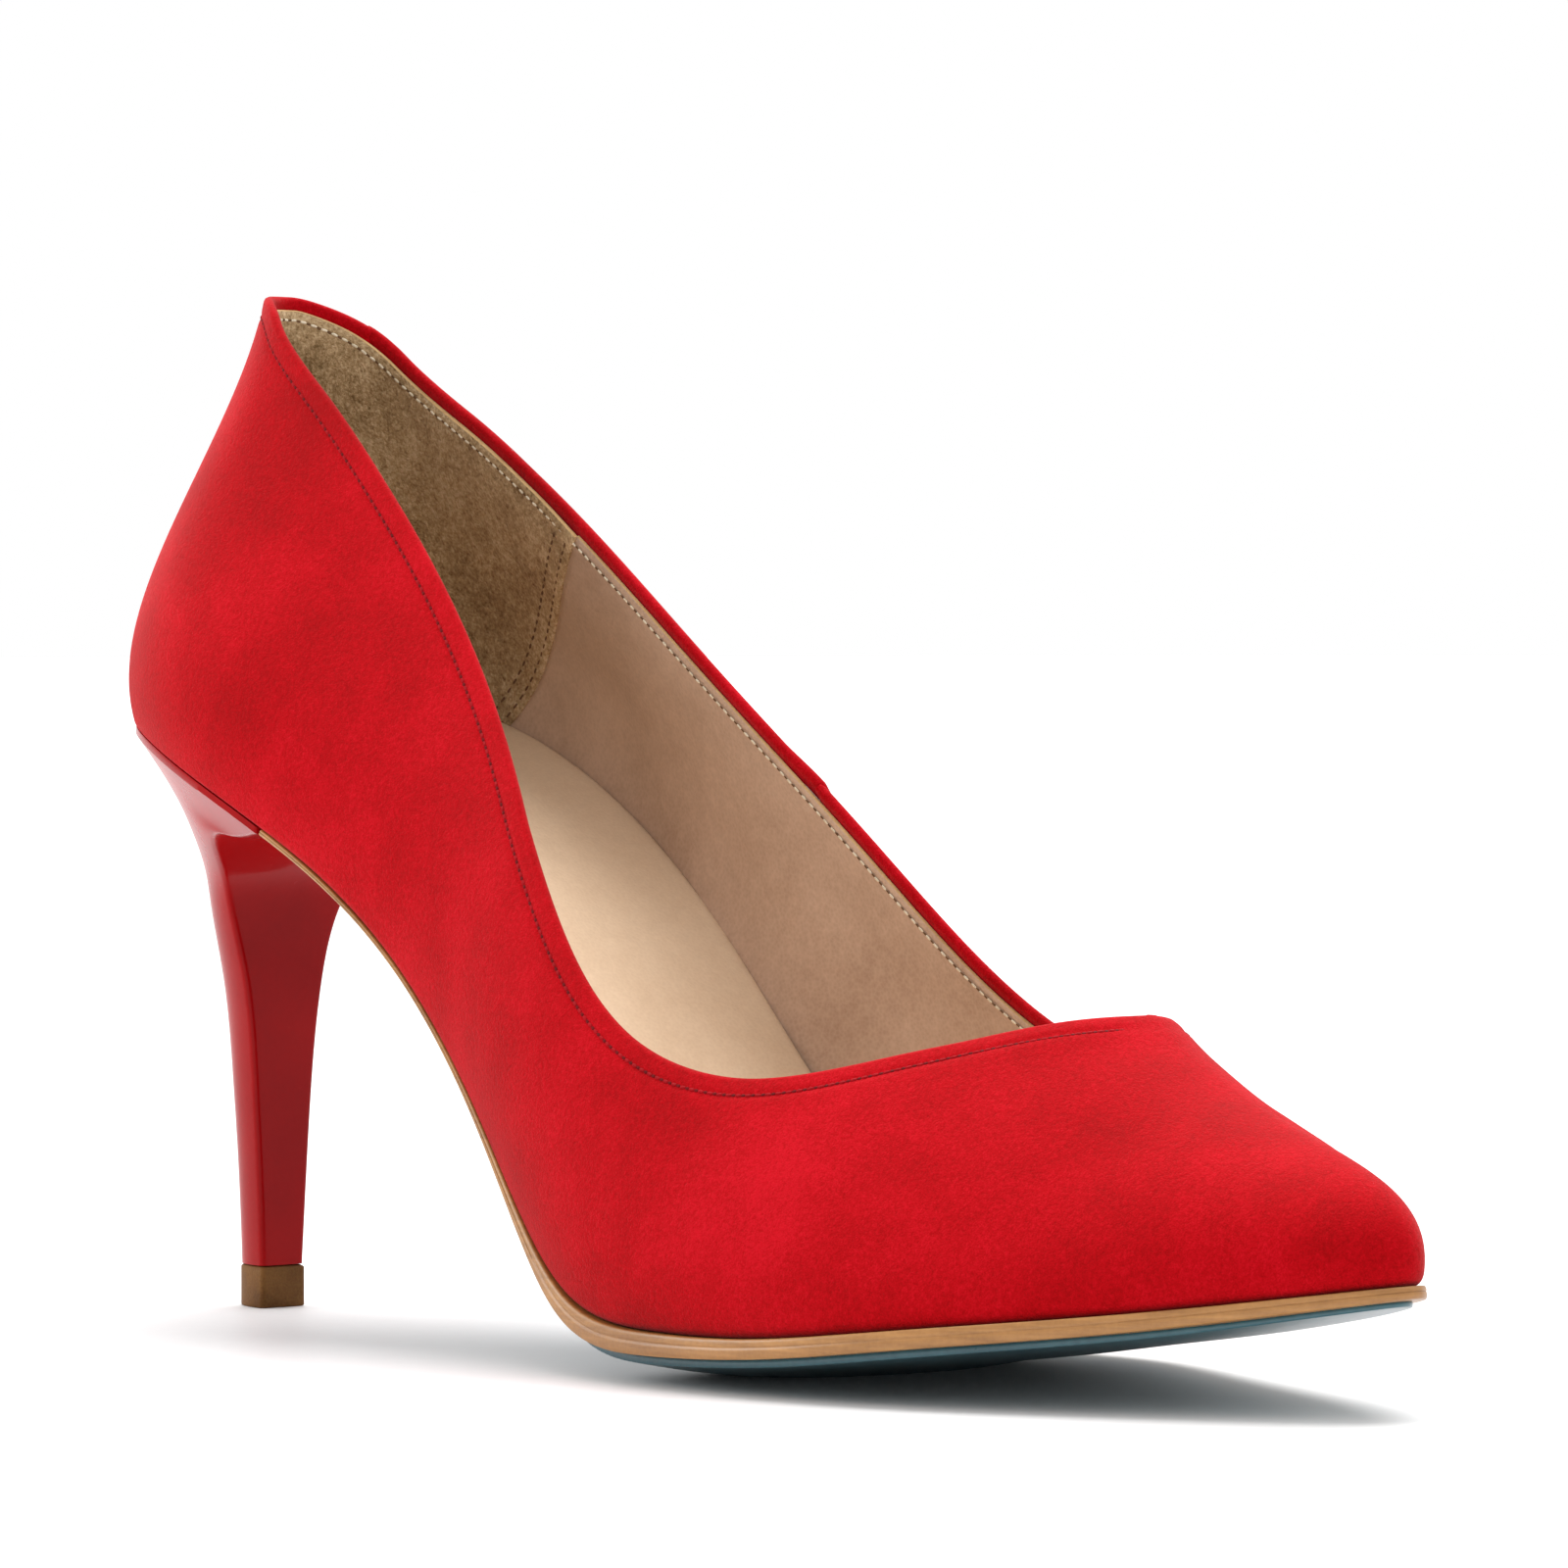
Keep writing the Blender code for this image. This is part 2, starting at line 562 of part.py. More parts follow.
def build_sole():
    """Sole body with its tan edge, and the thin tread under it that meets the floor."""
    overhang = natural(SOLE_OVERHANG)
    edge = natural(SOLE_EDGE)
    belly = natural(SOLE_BELLY)
    tread_edge = natural(TREAD_EDGE)
    tread_middle = natural(TREAD_MIDDLE)

    def body_outline(side, s, reach):
        return -float(overhang(s))

    def tread_outline(side, s, reach):
        return min(TREAD_INSET - float(overhang(s)), 0.8 * reach)

    def bulge(share):
        return 1 - (1 - share) ** 2

    def body_drop(s, share):
        return GAP + edge(s) + belly(s) * bulge(share)

    def tread_drop(s, share):
        thick = tread_edge(s) + (tread_middle(s) - tread_edge(s)) * bulge(share)
        return body_drop(s, share) + GAP + thick

    points, down, faces, share = bed_sheet(body_outline, RINGS)
    chosen = [face for (_, s, _), face in faces if s > SOLE_START]
    drop = body_drop(points[:, 0], share)[:, None]
    slab("sole_body", points + down * GAP, points + down * drop, chosen, SOLE_TAN)

    points, down, faces, share = bed_sheet(tread_outline, RINGS)
    chosen = [face for (_, s, _), face in faces if s > SOLE_START]
    top = points + down * (body_drop(points[:, 0], share) + GAP)[:, None]
    bottom = points + down * tread_drop(points[:, 0], share)[:, None]
    bottom[:, 2] = np.maximum(bottom[:, 2], 0)
    slab("outsole_tread", top, bottom, chosen, SOLE_TEAL)


def seat_loop(drop):
    """Rim of the heel seat, in order round it, with the front corners' places in the list."""
    stations = [s for side, s in columns() if side < 0 and s <= SEAT_FRONT]
    around = [(-1, s) for s in reversed(stations)] + [(1, s) for s in stations if s > 0]
    grid = []
    for side, s in around:
        reach = float(inward(side, np.array(s))[2])
        grid.append([under(side, s, np.array(share * reach)) for share in HEEL_RINGS])
    grid = np.array(grid)
    grid[..., 2] -= drop
    front = np.vstack([grid[-1, 1:], grid[0, 1:-1][::-1]])
    return grid, np.vstack([grid[:, 0], front])


def heel_cut(height, back, front, width, power, round_share, flat_share):
    """One horizontal cut: rounded behind, flat in front, as a loop like the seat's rim."""
    angle = np.pi * round_share
    bow = np.abs(np.sin(angle)) ** power
    side = np.cos(angle)
    side = np.sign(side) * np.abs(side) ** power
    round_part = np.c_[front - (front - back) * bow, -width / 2 * side]
    flat_part = np.c_[np.full(len(flat_share), front), width * (0.5 - flat_share)]
    loop = np.vstack([round_part, flat_part])
    return np.c_[loop, np.full(len(loop), height)]


def heel_loops():
    """Loops down the heel from the seat lip to the tip."""
    grid, rim = seat_loop(GAP * SEAT_DROP + HEEL_LIP)
    count = len(grid)
    step = np.linalg.norm(np.diff(rim[:count], axis=0), axis=1)
    round_share = np.concatenate([[0], np.cumsum(step)]) / step.sum()
    flat = rim[count:, 1]
    flat_share = (rim[count - 1, 1] - flat) / (rim[count - 1, 1] - rim[0, 1])
    cuts = [heel_cut(*row, round_share, flat_share) for row in HEEL_CUTS]
    flare = cuts[-1] + (rim - cuts[-1]) * (FLARE_SHARE, FLARE_SHARE, 0.5)
    known = np.array([*cuts, flare, rim])
    last = HEEL_CUTS[-1][0]
    place = [row[0] for row in HEEL_CUTS] + [last + SEAT_STEP / 2, last + SEAT_STEP]
    wanted = np.array(HEEL_LEVELS)
    loops = np.empty((len(wanted), *rim.shape))
    for k in range(len(rim)):
        for axis in range(3):
            loops[:, k, axis] = natural(np.c_[place, known[:, k, axis]])(wanted)
    return loops


def build_heel():
    """Lacquered heel block, bored for its tube, screw and nails."""
    top, _ = seat_loop(GAP * SEAT_DROP)
    loops = heel_loops()
    cols, rings = top.shape[:2]
    points = list(top.reshape(-1, 3))
    rim = [i * rings for i in range(cols)]
    rim += [(cols - 1) * rings + r for r in range(1, rings)]
    rim += [r for r in range(rings - 2, 0, -1)]
    faces = [
        [i * rings + r, i * rings + r + 1, (i + 1) * rings + r + 1, (i + 1) * rings + r]
        for i in range(cols - 1)
        for r in range(rings - 1)
    ]
    above = rim
    for loop in loops:
        below = list(range(len(points), len(points) + len(loop)))
        points += list(loop)
        pairs = zip(above, above[1:] + above[:1], below[1:] + below[:1], below)
        faces += [list(quad) for quad in pairs]
        above = below
    faces.append(above)
    points, faces, _ = weld(np.array(points), [(None, face) for face in faces])
    heel = add("heel", points, [face for _, face in faces], HEEL_LACQUER)
    bores = [(BORE_CENTRE, BORE_RADIUS, 0.0, BORE_TOP)]
    for at, size in FIXINGS:
        bores.append((at, size[0] + HOLE_CLEARANCE, fixing_tip(at, size) - GAP, 100.0))
    cut(heel, bores)


def fixing_tip(at, size):
    """Height of a fixing's point."""
    return fixing_head(at, size) - size[2] - size[3]


def fixing_head(at, size):
    """Height of a fixing's head: all of it below the sloping top of the insole board."""
    fall = float(feather_z(at[0] - 1) - feather_z(at[0] + 1)) / 2
    return float(feather_z(at[0]) - crown(at[0])) + INSOLE[1] - size[1] * fall - 0.2


def build_fixings():
    """Screw and nails that hold the heel to the insole board."""
    names = ["heel_screw"] + [f"heel_nail_{k + 1}" for k in range(len(NAILS_AT))]
    for name, (at, size) in zip(names, FIXINGS):
        shank, head, thick, length = size
        z = fixing_head(at, size)
        profile = ((head, z), (head, z - thick), (shank, z - thick), (shank, z - thick - length))
        turned(name, at, profile, STEEL)


def turned(name, centre, profile, look, steps=ROUND_STEPS):
    """Solid of revolution about a vertical axis, from a top-to-bottom (radius, height) profile."""
    turn = np.arange(steps) * 2 * np.pi / steps
    points = []
    for radius, z in profile:
        ring = np.c_[centre[0] + radius * np.cos(turn), centre[1] + radius * np.sin(turn)]
        points += [(*p, z) for p in ring]
    faces = []
    for row in range(len(profile) - 1):
        for k in range(steps):
            a, b = row * steps + k, row * steps + (k + 1) % steps
            faces.append([a, b, b + steps, a + steps])
    faces.append(list(range(steps)))
    faces.append([(len(profile) - 1) * steps + k for k in reversed(range(steps))])
    return add(name, np.array(points), faces, look)


def build_tube():
    """Steel tube up the heel's bore."""
    inner, outer = TUBE_RADII
    tube = turned(
        "heel_tube",
        BORE_CENTRE,
        ((outer, BORE_TOP - GAP), (outer, TIP_TOP + 2 * GAP)),
        STEEL,
    )
    cut(tube, [(BORE_CENTRE, inner, 0.0, 100.0)])


def build_tip():
    """Rubber top piece and the steel pin that holds it in the tube."""
    _, back, front, width, power = HEEL_CUTS[0]
    around = np.linspace(0, 1, TIP_STEPS)
    flat = np.linspace(0, 1, 4)[1:-1]
    wide = width + 2 * TIP_PROUD
    loop = heel_cut(0.0, back - TIP_PROUD, front + TIP_PROUD, wide, power, around, flat)[:, :2]
    count = len(loop)
    points = np.vstack([np.c_[loop, np.zeros(count)], np.c_[loop, np.full(count, TIP_TOP)]])
    faces = [[k, (k + 1) % count, (k + 1) % count + count, k + count] for k in range(count)]
    faces.append(list(range(count)))
    faces.append([k + count for k in reversed(range(count))])
    tip = add("top_piece", points, faces, TIP_RUBBER)
    low, high = PIN_SPAN
    cut(tip, [(BORE_CENTRE, PIN_RADIUS + GAP, low - GAP, 100.0)])
    turned("top_piece_pin", BORE_CENTRE, ((PIN_RADIUS, high), (PIN_RADIUS, low)), STEEL)


def clear_scene():
    for old in list(bpy.data.objects):
        bpy.data.objects.remove(old, do_unlink=True)


def centre_on_origin():
    """Puts the middle of the whole object's plan box over the origin."""
    whole = np.array([v.co for o in bpy.data.objects if not o.hide_render for v in o.data.vertices])
    middle = (whole.min(axis=0) + whole.max(axis=0)) / 2
    for made in bpy.data.objects:
        for vertex in made.data.vertices:
            vertex.co.x -= middle[0]
            vertex.co.y -= middle[1]


def main():
    clear_scene()
    sheet = upper_sheet()
    build_upper(sheet)
    build_backing(sheet)
    build_lining(sheet)
    build_insole()
    build_sole()
    build_heel()
    build_tube()
    build_fixings()
    build_tip()
    centre_on_origin()


main()
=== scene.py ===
"""High heel pump, right foot: the visible pieces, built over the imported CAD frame.

The last's surface functions are the CAD part's own, sampled finely. They work in shoe coordinates,
in millimetres (s from the heel to the toe, x to the medial side, z up), and `world` places them by
the CAD's top piece.
"""

import math

import bpy
import numpy as np
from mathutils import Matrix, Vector
from mathutils.kdtree import KDTree

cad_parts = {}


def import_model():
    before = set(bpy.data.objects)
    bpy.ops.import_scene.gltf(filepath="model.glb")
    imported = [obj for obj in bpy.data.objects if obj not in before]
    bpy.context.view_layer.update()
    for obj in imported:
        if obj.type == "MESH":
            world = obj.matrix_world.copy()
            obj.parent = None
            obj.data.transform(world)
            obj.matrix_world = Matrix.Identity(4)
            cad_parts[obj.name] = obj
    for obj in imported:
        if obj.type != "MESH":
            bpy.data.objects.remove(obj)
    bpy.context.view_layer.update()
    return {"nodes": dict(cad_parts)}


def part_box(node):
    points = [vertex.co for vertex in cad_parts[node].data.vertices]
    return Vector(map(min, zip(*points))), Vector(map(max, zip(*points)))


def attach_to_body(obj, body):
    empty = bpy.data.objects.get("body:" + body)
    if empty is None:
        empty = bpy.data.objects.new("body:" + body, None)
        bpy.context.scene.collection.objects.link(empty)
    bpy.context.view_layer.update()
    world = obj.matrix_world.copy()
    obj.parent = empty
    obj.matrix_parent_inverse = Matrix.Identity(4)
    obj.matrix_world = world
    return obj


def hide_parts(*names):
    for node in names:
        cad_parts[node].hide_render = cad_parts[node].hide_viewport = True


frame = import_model()

MM = 0.001

# ---- Shape of the last, as in the CAD part -------------------------------------------------------
OUTLINE = (
    (0, 0), (3.9, -11.7), (14.5, -22), (32.2, -29.6), (60, -29.8), (94.2, -29.6), (123.6, -36),
    (151.3, -38), (177.8, -33.4), (204.2, -20.2), (222.5, -9), (231.5, 1.8), (223, 9.2),
    (202.4, 17.4), (176, 26.6), (151.3, 33.8), (125.3, 30.4), (95.3, 25.3), (60.3, 28.4),
    (32.1, 28.8), (13.5, 22), (4.3, 11.6),
)
FEATHER_Z = (
    (0, 80.8), (20, 78.6), (40, 72.2), (60, 62.5), (80, 48.2), (100, 27.9), (120, 10.6), (140, 6.8),
    (158, 7.1), (180, 9.3), (205, 12.1), (232, 16),
)
CROWN = ((0, 1.5), (60, 1.5), (110, 1.2), (148, 1.2), (190, 0.7), (232, 0.2))
RIDGE_X = ((0, 0), (110, 1.9), (150, 5), (190, 5.4), (232, 1.8))
HEEL_PIVOT = 34.0
TOE_PIVOT = 200.0
PIVOT_BLEND = 8.0
TOP_REACH = ((0, 0.595), (40, 0.59), (80, 0.50), (115, 0.73), (145, 1), (170, 1), (232, 1))
FULL_REACH = 150.0
TOP_Z = (
    (0, 140.2), (30, 134.2), (60, 117.8), (90, 96.4), (120, 74.6), (145, 57.4), (165, 50.8),
    (185, 43.6), (200, 36.3), (232, 32),
)
TOP_TILT = ((0, 82.4), (40, 80.9), (80, 70.9), (115, 24), (145, 0), (170, 0), (232, 0))
TOP_PULL = ((0, 18.2), (60, 23.8), (115, 26.7), (150, 27.9), (180, 22.4), (200, 17.7), (232, 16))
FOOT_SPREAD = ((0, 16.9), (40, 17.5), (80, 13.4), (110, 19.2), (150, 30), (190, 26), (232, 16))
FOOT_PULL = ((0, 16.7), (60, 22.3), (110, 21.3), (150, 15), (185, 7), (205, 8.4), (232, 13))
TOPLINE_LATERAL = (
    (0, 0.95), (20, 0.975), (45, 0.94), (70, 0.86), (95, 0.71), (120, 0.53), (144, 0.50),
    (168, 0.68), (183, 1),
)
TOPLINE_MEDIAL = (
    (0, 0.95), (20, 0.91), (45, 0.89), (70, 0.86), (95, 0.79), (120, 0.66), (144, 0.55),
    (168, 0.64), (183, 1),
)
TOPLINE_SCALE = 60.0
LEAN_MEDIAL = ((0, 0), (11, 3), (30, 35), (50, 27), (70, 15), (118, -12), (145, 0))
LEAN_LATERAL = ((0, 0), (11, 3), (30, 35), (50, 27), (70, 15), (118, -6), (145, 0))
THROAT = 183.0
GRIP_SEAM = 30.0
BACK_SEAM = 11.0
QUARTER_SEAM = 118.0
SEAT_FRONT = 52.0
SOLE_START = 52.6

SOLE_OVERHANG = ((50, -0.5), (100, -0.3), (125, 0.4), (145, 1), (205, 0.8), (232, 0.3))
SOLE_EDGE = (
    (50, 0.6), (100, 0.9), (114, 1.7), (125, 2.6), (136, 2.7), (148, 2.4), (205, 1.9), (232, 1.3),
)
SOLE_BELLY = ((50, 0.5), (110, 0.3), (148, 0.3), (190, 0.3), (232, 0.1))
TREAD_INSET = 2.4
TREAD_EDGE = ((50, 0.5), (110, 0.6), (205, 0.5), (232, 0.3))
TREAD_MIDDLE = (
    (50, 0.7), (110, 1), (121, 2), (128, 3.3), (138, 3.4), (146, 2.6), (154, 1.4), (165, 0.9),
    (192, 0.5), (232, 0.4),
)

TIP_TOP = 5.5
HEEL_CUTS = (
    (5.8, 10.4, 18.4, 7.2, 1.0), (20.0, 9.9, 18.6, 8.7, 1.0), (31.0, 9.2, 18.7, 10.2, 1.0),
    (44.5, 7.9, 18.9, 13.4, 1.05), (55.0, 6.4, 19.4, 19.4, 1.15), (60.0, 5.6, 22.6, 27.0, 1.35),
    (64.5, 4.8, 31.0, 43.0, 1.5),
)
SEAT_STEP = 14.0
FLARE_SHARE = 0.43
TIP_PROUD = 0.15

# ---- Fine detail of the visible pieces, in millimetres -------------------------------------------
COLUMNS = 700
SUEDE_THICK = 0.8
FOLD_THICK = 1.35
FOLD_WIDTH = 4.0
FEATHER_ROUND = ((0.0, 0.6), (50.0, 0.7), (62.0, 1.4), (232.0, 1.6))
STITCH_BELOW_EDGE = 2.15
STITCH_GROOVE = 0.16
THROAT_LIP = 1.0
THROAT_LIP_WIDTH = 4.0
SEAM_LIFT = 0.4
SEAM_LIFT_WIDTH = 7.0
LINING_TRIM = 1.0
LINING_DEPTH = (1.45, 2.15)
LINING_START = 1.8
SOCK_LIFT = 5.1
WELD = 0.004
ROUND_STEPS = 5
TOPLINE_PITCH = 0.25
LINE_SMOOTHING = 6

# ---- Camera and light ----------------------------------------------------------------------------
CAMERA_AZIMUTH = -41.35
CAMERA_ELEVATION = 1.02
CAMERA_DISTANCE = 0.99896
CAMERA_TARGET = (122.0, 0.04, 72.96)
CAMERA_LENS = 180.9
FLOOR_HALF = 40.0
OVERHEAD_FROM = (0.3, 0.2, 1.0)
GLOW_PLACE = (-0.8, 0.9, 0.6)
GLOW_AIM = (0.0, -0.02, 0.06)


def natural(knots):
    """Natural cubic spline through (position, value) knots."""
    x, y = np.array(knots, float).T
    h = np.diff(x)
    count = len(x)
    matrix = np.eye(count)
    right = np.zeros(count)
    for i in range(1, count - 1):
        matrix[i, i - 1 : i + 2] = h[i - 1], 2 * (h[i - 1] + h[i]), h[i]
        right[i] = 6 * ((y[i + 1] - y[i]) / h[i] - (y[i] - y[i - 1]) / h[i - 1])
    bend = np.linalg.solve(matrix, right)

    def value(at):
        at = np.clip(np.asarray(at, float), x[0], x[-1])
        i = np.clip(np.searchsorted(x, at) - 1, 0, count - 2)
        low = at - x[i]
        high = x[i + 1] - at
        curve = (bend[i] * high**3 + bend[i + 1] * low**3) / (6 * h[i])
        return (
            curve
            + (y[i] / h[i] - bend[i] * h[i] / 6) * high
            + (y[i + 1] / h[i] - bend[i + 1] * h[i] / 6) * low
        )

    return value


def chord_lengths(points):
    """Distance along a polyline at each of its points."""
    steps = np.linalg.norm(np.diff(points, axis=0), axis=1)
    return np.concatenate([[0], np.cumsum(steps)])


def points_along(at, along, points):
    """Points of a polyline at distances along it."""
    return np.stack([np.interp(at, along, axis) for axis in points.T], axis=-1)


def closed_curve(points, steps=720):
    """Dense closed curve through plan points, by chord length."""
    loop = np.array(points, float)
    thrice = np.vstack([loop, loop, loop, loop[:1]])
    chord = chord_lengths(thrice)
    at = np.linspace(chord[len(loop)], chord[2 * len(loop)], steps + 1)
    return np.stack([natural(np.c_[chord, thrice[:, k]])(at) for k in (0, 1)], axis=1)


PLAN = closed_curve(OUTLINE)
TIP_INDEX = int(np.argmax(PLAN[:, 0]))
TOE = float(PLAN[TIP_INDEX, 0])
HALVES = {-1: PLAN[: TIP_INDEX + 1], 1: PLAN[TIP_INDEX:][::-1]}
feather_z = natural(FEATHER_Z)
crown = natural(CROWN)
ridge_x = natural(RIDGE_X)
top_reach = natural(TOP_REACH)
top_z = natural(TOP_Z)
top_tilt = natural(TOP_TILT)
top_pull = natural(TOP_PULL)
foot_spread = natural(FOOT_SPREAD)
foot_pull = natural(FOOT_PULL)
lean_by_side = {-1: natural(LEAN_LATERAL), 1: natural(LEAN_MEDIAL)}


def topline_of(side):
    """(station, height up the section) along one side's topline, smooth through back and throat."""
    own = np.array(TOPLINE_MEDIAL if side > 0 else TOPLINE_LATERAL)
    other = np.array(TOPLINE_LATERAL if side > 0 else TOPLINE_MEDIAL)
    over = np.c_[other[:, 0], 2 - other[:, 1]][::-1][1:]
    loop = np.vstack([own, over]) * (1.0, TOPLINE_SCALE)
    chord = chord_lengths(loop)
    at = np.linspace(0, chord[len(own) - 1], 400)
    s, v = (natural(np.c_[chord, loop[:, k]])(at) for k in (0, 1))
    return s, v / TOPLINE_SCALE


TOPLINES = {side: topline_of(side) for side in (-1, 1)}


def top_height(side, s):
    """How far up the section the upper reaches at a station: the topline, or the ridge."""
    return np.interp(s, *TOPLINES[side], right=1.0)


def outline_x(side, s):
    half = HALVES[side]
    return np.interp(s, half[:, 0], half[:, 1])


def axis_station(s):
    """Where the section through an outline station meets the middle line."""
    s = np.asarray(s, float)
    late = HEEL_PIVOT + (s - HEEL_PIVOT + PIVOT_BLEND) ** 2 / (4 * PIVOT_BLEND)
    near = np.where(s < HEEL_PIVOT - PIVOT_BLEND, HEEL_PIVOT, late)
    near = np.where(s > HEEL_PIVOT + PIVOT_BLEND, s, near)
    early = s - (s - TOE_PIVOT + PIVOT_BLEND) ** 2 / (4 * PIVOT_BLEND)
    near = np.where(s > TOE_PIVOT - PIVOT_BLEND, early, near)
    return np.where(s > TOE_PIVOT + PIVOT_BLEND, TOE_PIVOT, near)


def inward(side, s):
    """Plan point, unit vector to the middle line, and distance to it, at outline stations."""
    start = np.stack([s, outline_x(side, s)], axis=-1)
    middle = axis_station(s)
    way = np.stack([middle, ridge_x(middle)], axis=-1) - start
    reach = np.linalg.norm(way, axis=-1)
    return start, way / reach[..., None], reach


def section(side, s, v):
    """Outer skin of the upper at stations s and heights v up the section (arrays alike)."""
    s = np.asarray(s, float)
    start, way, reach = inward(side, s)
    ridge_s = np.where(s > TOE_PIVOT - PIVOT_BLEND, axis_station(s), s)
    slope = (top_z(ridge_s + 1) - top_z(ridge_s - 1)) / 2
    tilt = np.radians(top_tilt(s))
    spread = np.radians(foot_spread(s))
    pull = np.minimum(top_pull(s), 0.8 * reach)
    base = feather_z(s)
    share = np.where(s > FULL_REACH, 1, np.minimum(top_reach(s), 1))
    across = [0 * s, -foot_pull(s) * np.sin(spread), 0, share * reach]
    height = [base, base + foot_pull(s) * np.cos(spread), 0, top_z(ridge_s)]
    across[2] = across[3] - pull * np.cos(tilt)
    height[2] = height[3] - pull * (np.sin(tilt) + np.cos(tilt) * slope * way[..., 0])
    weights = ((1 - v) ** 3, 3 * v * (1 - v) ** 2, 3 * v * v * (1 - v), v**3)
    run = sum(w * a for w, a in zip(weights, across))
    rise = sum(w * h for w, h in zip(weights, height))
    plan = start + run[..., None] * way
    return np.concatenate([plan, rise[..., None]], axis=-1)


def under(side, s, run):
    """Bottom skin at a distance `run` in from the outline station s (negative is outside)."""
    s = np.asarray(s, float)
    start, way, reach = inward(side, s)
    plan = start + run[..., None] * way
    share = 1 - run / reach
    z = feather_z(plan[..., 0]) - crown(plan[..., 0]) * (1 - share**2)
    return np.concatenate([plan, z[..., None]], axis=-1)


# ---- Columns round the last ----------------------------------------------------------------------
def throat_stations():
    """Extra stations, closer and closer, where the topline turns across the foot."""
    gap = np.linspace(0, 1, 26)[1:]
    return [THROAT - 9.0 * g * g for g in gap] + [THROAT + 3.0 * g * g for g in gap[:12]]


def around_columns():
    """(side, station) of the columns, alike on both sides so that they meet on the middle line."""
    lateral = HALVES[-1]
    along = chord_lengths(lateral)
    even = np.interp(np.linspace(0, along[-1], COLUMNS // 2), along, lateral[:, 0])
    marks = np.array([
        0.0, BACK_SEAM, GRIP_SEAM, SEAT_FRONT, SOLE_START, QUARTER_SEAM, THROAT, TOE,
        *throat_stations(),
    ])
    spacing = np.interp(even, (even[1:] + even[:-1]) / 2, np.diff(even))
    near = np.abs(even[:, None] - marks[None, :]).min(axis=1)
    half = np.unique(np.concatenate([even[near > 0.4 * spacing], marks]))
    side = np.repeat([-1, 1], [len(half), len(half) - 2])
    return side, np.concatenate([half, half[::-1][1:-1]])


SIDE, STATION = around_columns()


def by_side(function, *arrays):
    """Runs function(side, ...) for the lateral and the medial columns and puts them in order."""
    made = None
    for side in (-1, 1):
        chosen = SIDE == side
        part = function(side, *(a[chosen] for a in arrays))
        if made is None:
            made = np.zeros((len(SIDE), *np.shape(part)[1:]))
        made[chosen] = part
    return made


def column_tops():
    """Station where each column meets the topline or the ridge."""
    return STATION + by_side(lambda side, s: lean_by_side[side](s), STATION)


TOP_STATION = column_tops()


def wall_paths(count=90):
    """Dense path up each column, from the feather line to its top: (columns, count, 3)."""
    up = np.linspace(0, 1, count)

    def paths(side, s, top_s):
        stations = s[:, None] + (top_s - s)[:, None] * up
        heights = up * top_height(side, top_s)[:, None]
        return section(side, stations, heights)

    return by_side(paths, STATION, TOP_STATION)


def bottom_paths(runs):
    """Points on the bottom skin at distances in from the feather line: (columns, runs, 3)."""

    def paths(side, s, run):
        return under(side, s[:, None] + 0 * run, run)

    return by_side(paths, STATION, np.broadcast_to(runs, (len(STATION), np.shape(runs)[-1])))


WALLS = wall_paths()
REACH = by_side(lambda side, s: inward(side, s)[2], STATION)
WAY = by_side(lambda side, s: inward(side, s)[1], STATION)
START = by_side(lambda side, s: inward(side, s)[0], STATION)
OPEN_COLUMNS = TOP_STATION <= THROAT + 1e-6


def resample(paths, lengths):
    """Points at given distances along each path: paths (n, m, 3), lengths (n, k)."""
    made = np.empty((len(paths), lengths.shape[1], 3))
    for i, path in enumerate(paths):
        made[i] = points_along(lengths[i], chord_lengths(path), path)
    return made


def kd_tree(points):
    tree = KDTree(len(points))
    for i, p in enumerate(points):
        tree.insert(p, i)
    tree.balance()
    return tree


def topline_points():
    """Dense closed line along the topline, over the throat."""
    loop = WALLS[OPEN_COLUMNS][:, -1]
    closed = np.vstack([loop, loop[:1]])
    along = chord_lengths(closed)
    return points_along(np.arange(0, along[-1], TOPLINE_PITCH), along, closed)


TOPLINE = topline_points()
TOPLINE_TREE = kd_tree(TOPLINE)


def to_topline(points):
    """Distance from each point to the topline."""
    flat = points.reshape(-1, 3)
    found = np.array([TOPLINE_TREE.find(p)[2] for p in flat])
    return found.reshape(points.shape[:-1])


# ---- Meshes --------------------------------------------------------------------------------------
TIP_LOW, TIP_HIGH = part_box("top_piece")
ORIGIN = np.array([
    (TIP_LOW.x + TIP_HIGH.x) / 2,
    TIP_HIGH.y + (HEEL_CUTS[0][1] - TIP_PROUD) * MM,
    TIP_LOW.z,
])


def world(points):
    """Shoe coordinates in millimetres to the frame's, in metres."""
    points = np.asarray(points, float)
    turned = np.stack([points[..., 1], -points[..., 0], points[..., 2]], axis=-1)
    return turned * MM + ORIGIN


def add_object(name, data):
    made = bpy.data.objects.new(name, data)
    bpy.context.scene.collection.objects.link(made)
    return made


def new_mesh(name, points, faces, materials, indices=None, smooth_angle=45.0):
    """One object from shoe-coordinate points and faces."""
    mesh = bpy.data.meshes.new(name)
    mesh.from_pydata(world(points).tolist(), [], faces)
    mesh.validate()
    for material in materials:
        mesh.materials.append(material)
    if indices is not None:
        mesh.polygons.foreach_set("material_index", indices)
    mesh.shade_smooth()
    mesh.set_sharp_from_angle(angle=math.radians(smooth_angle))
    return add_object(name, mesh)


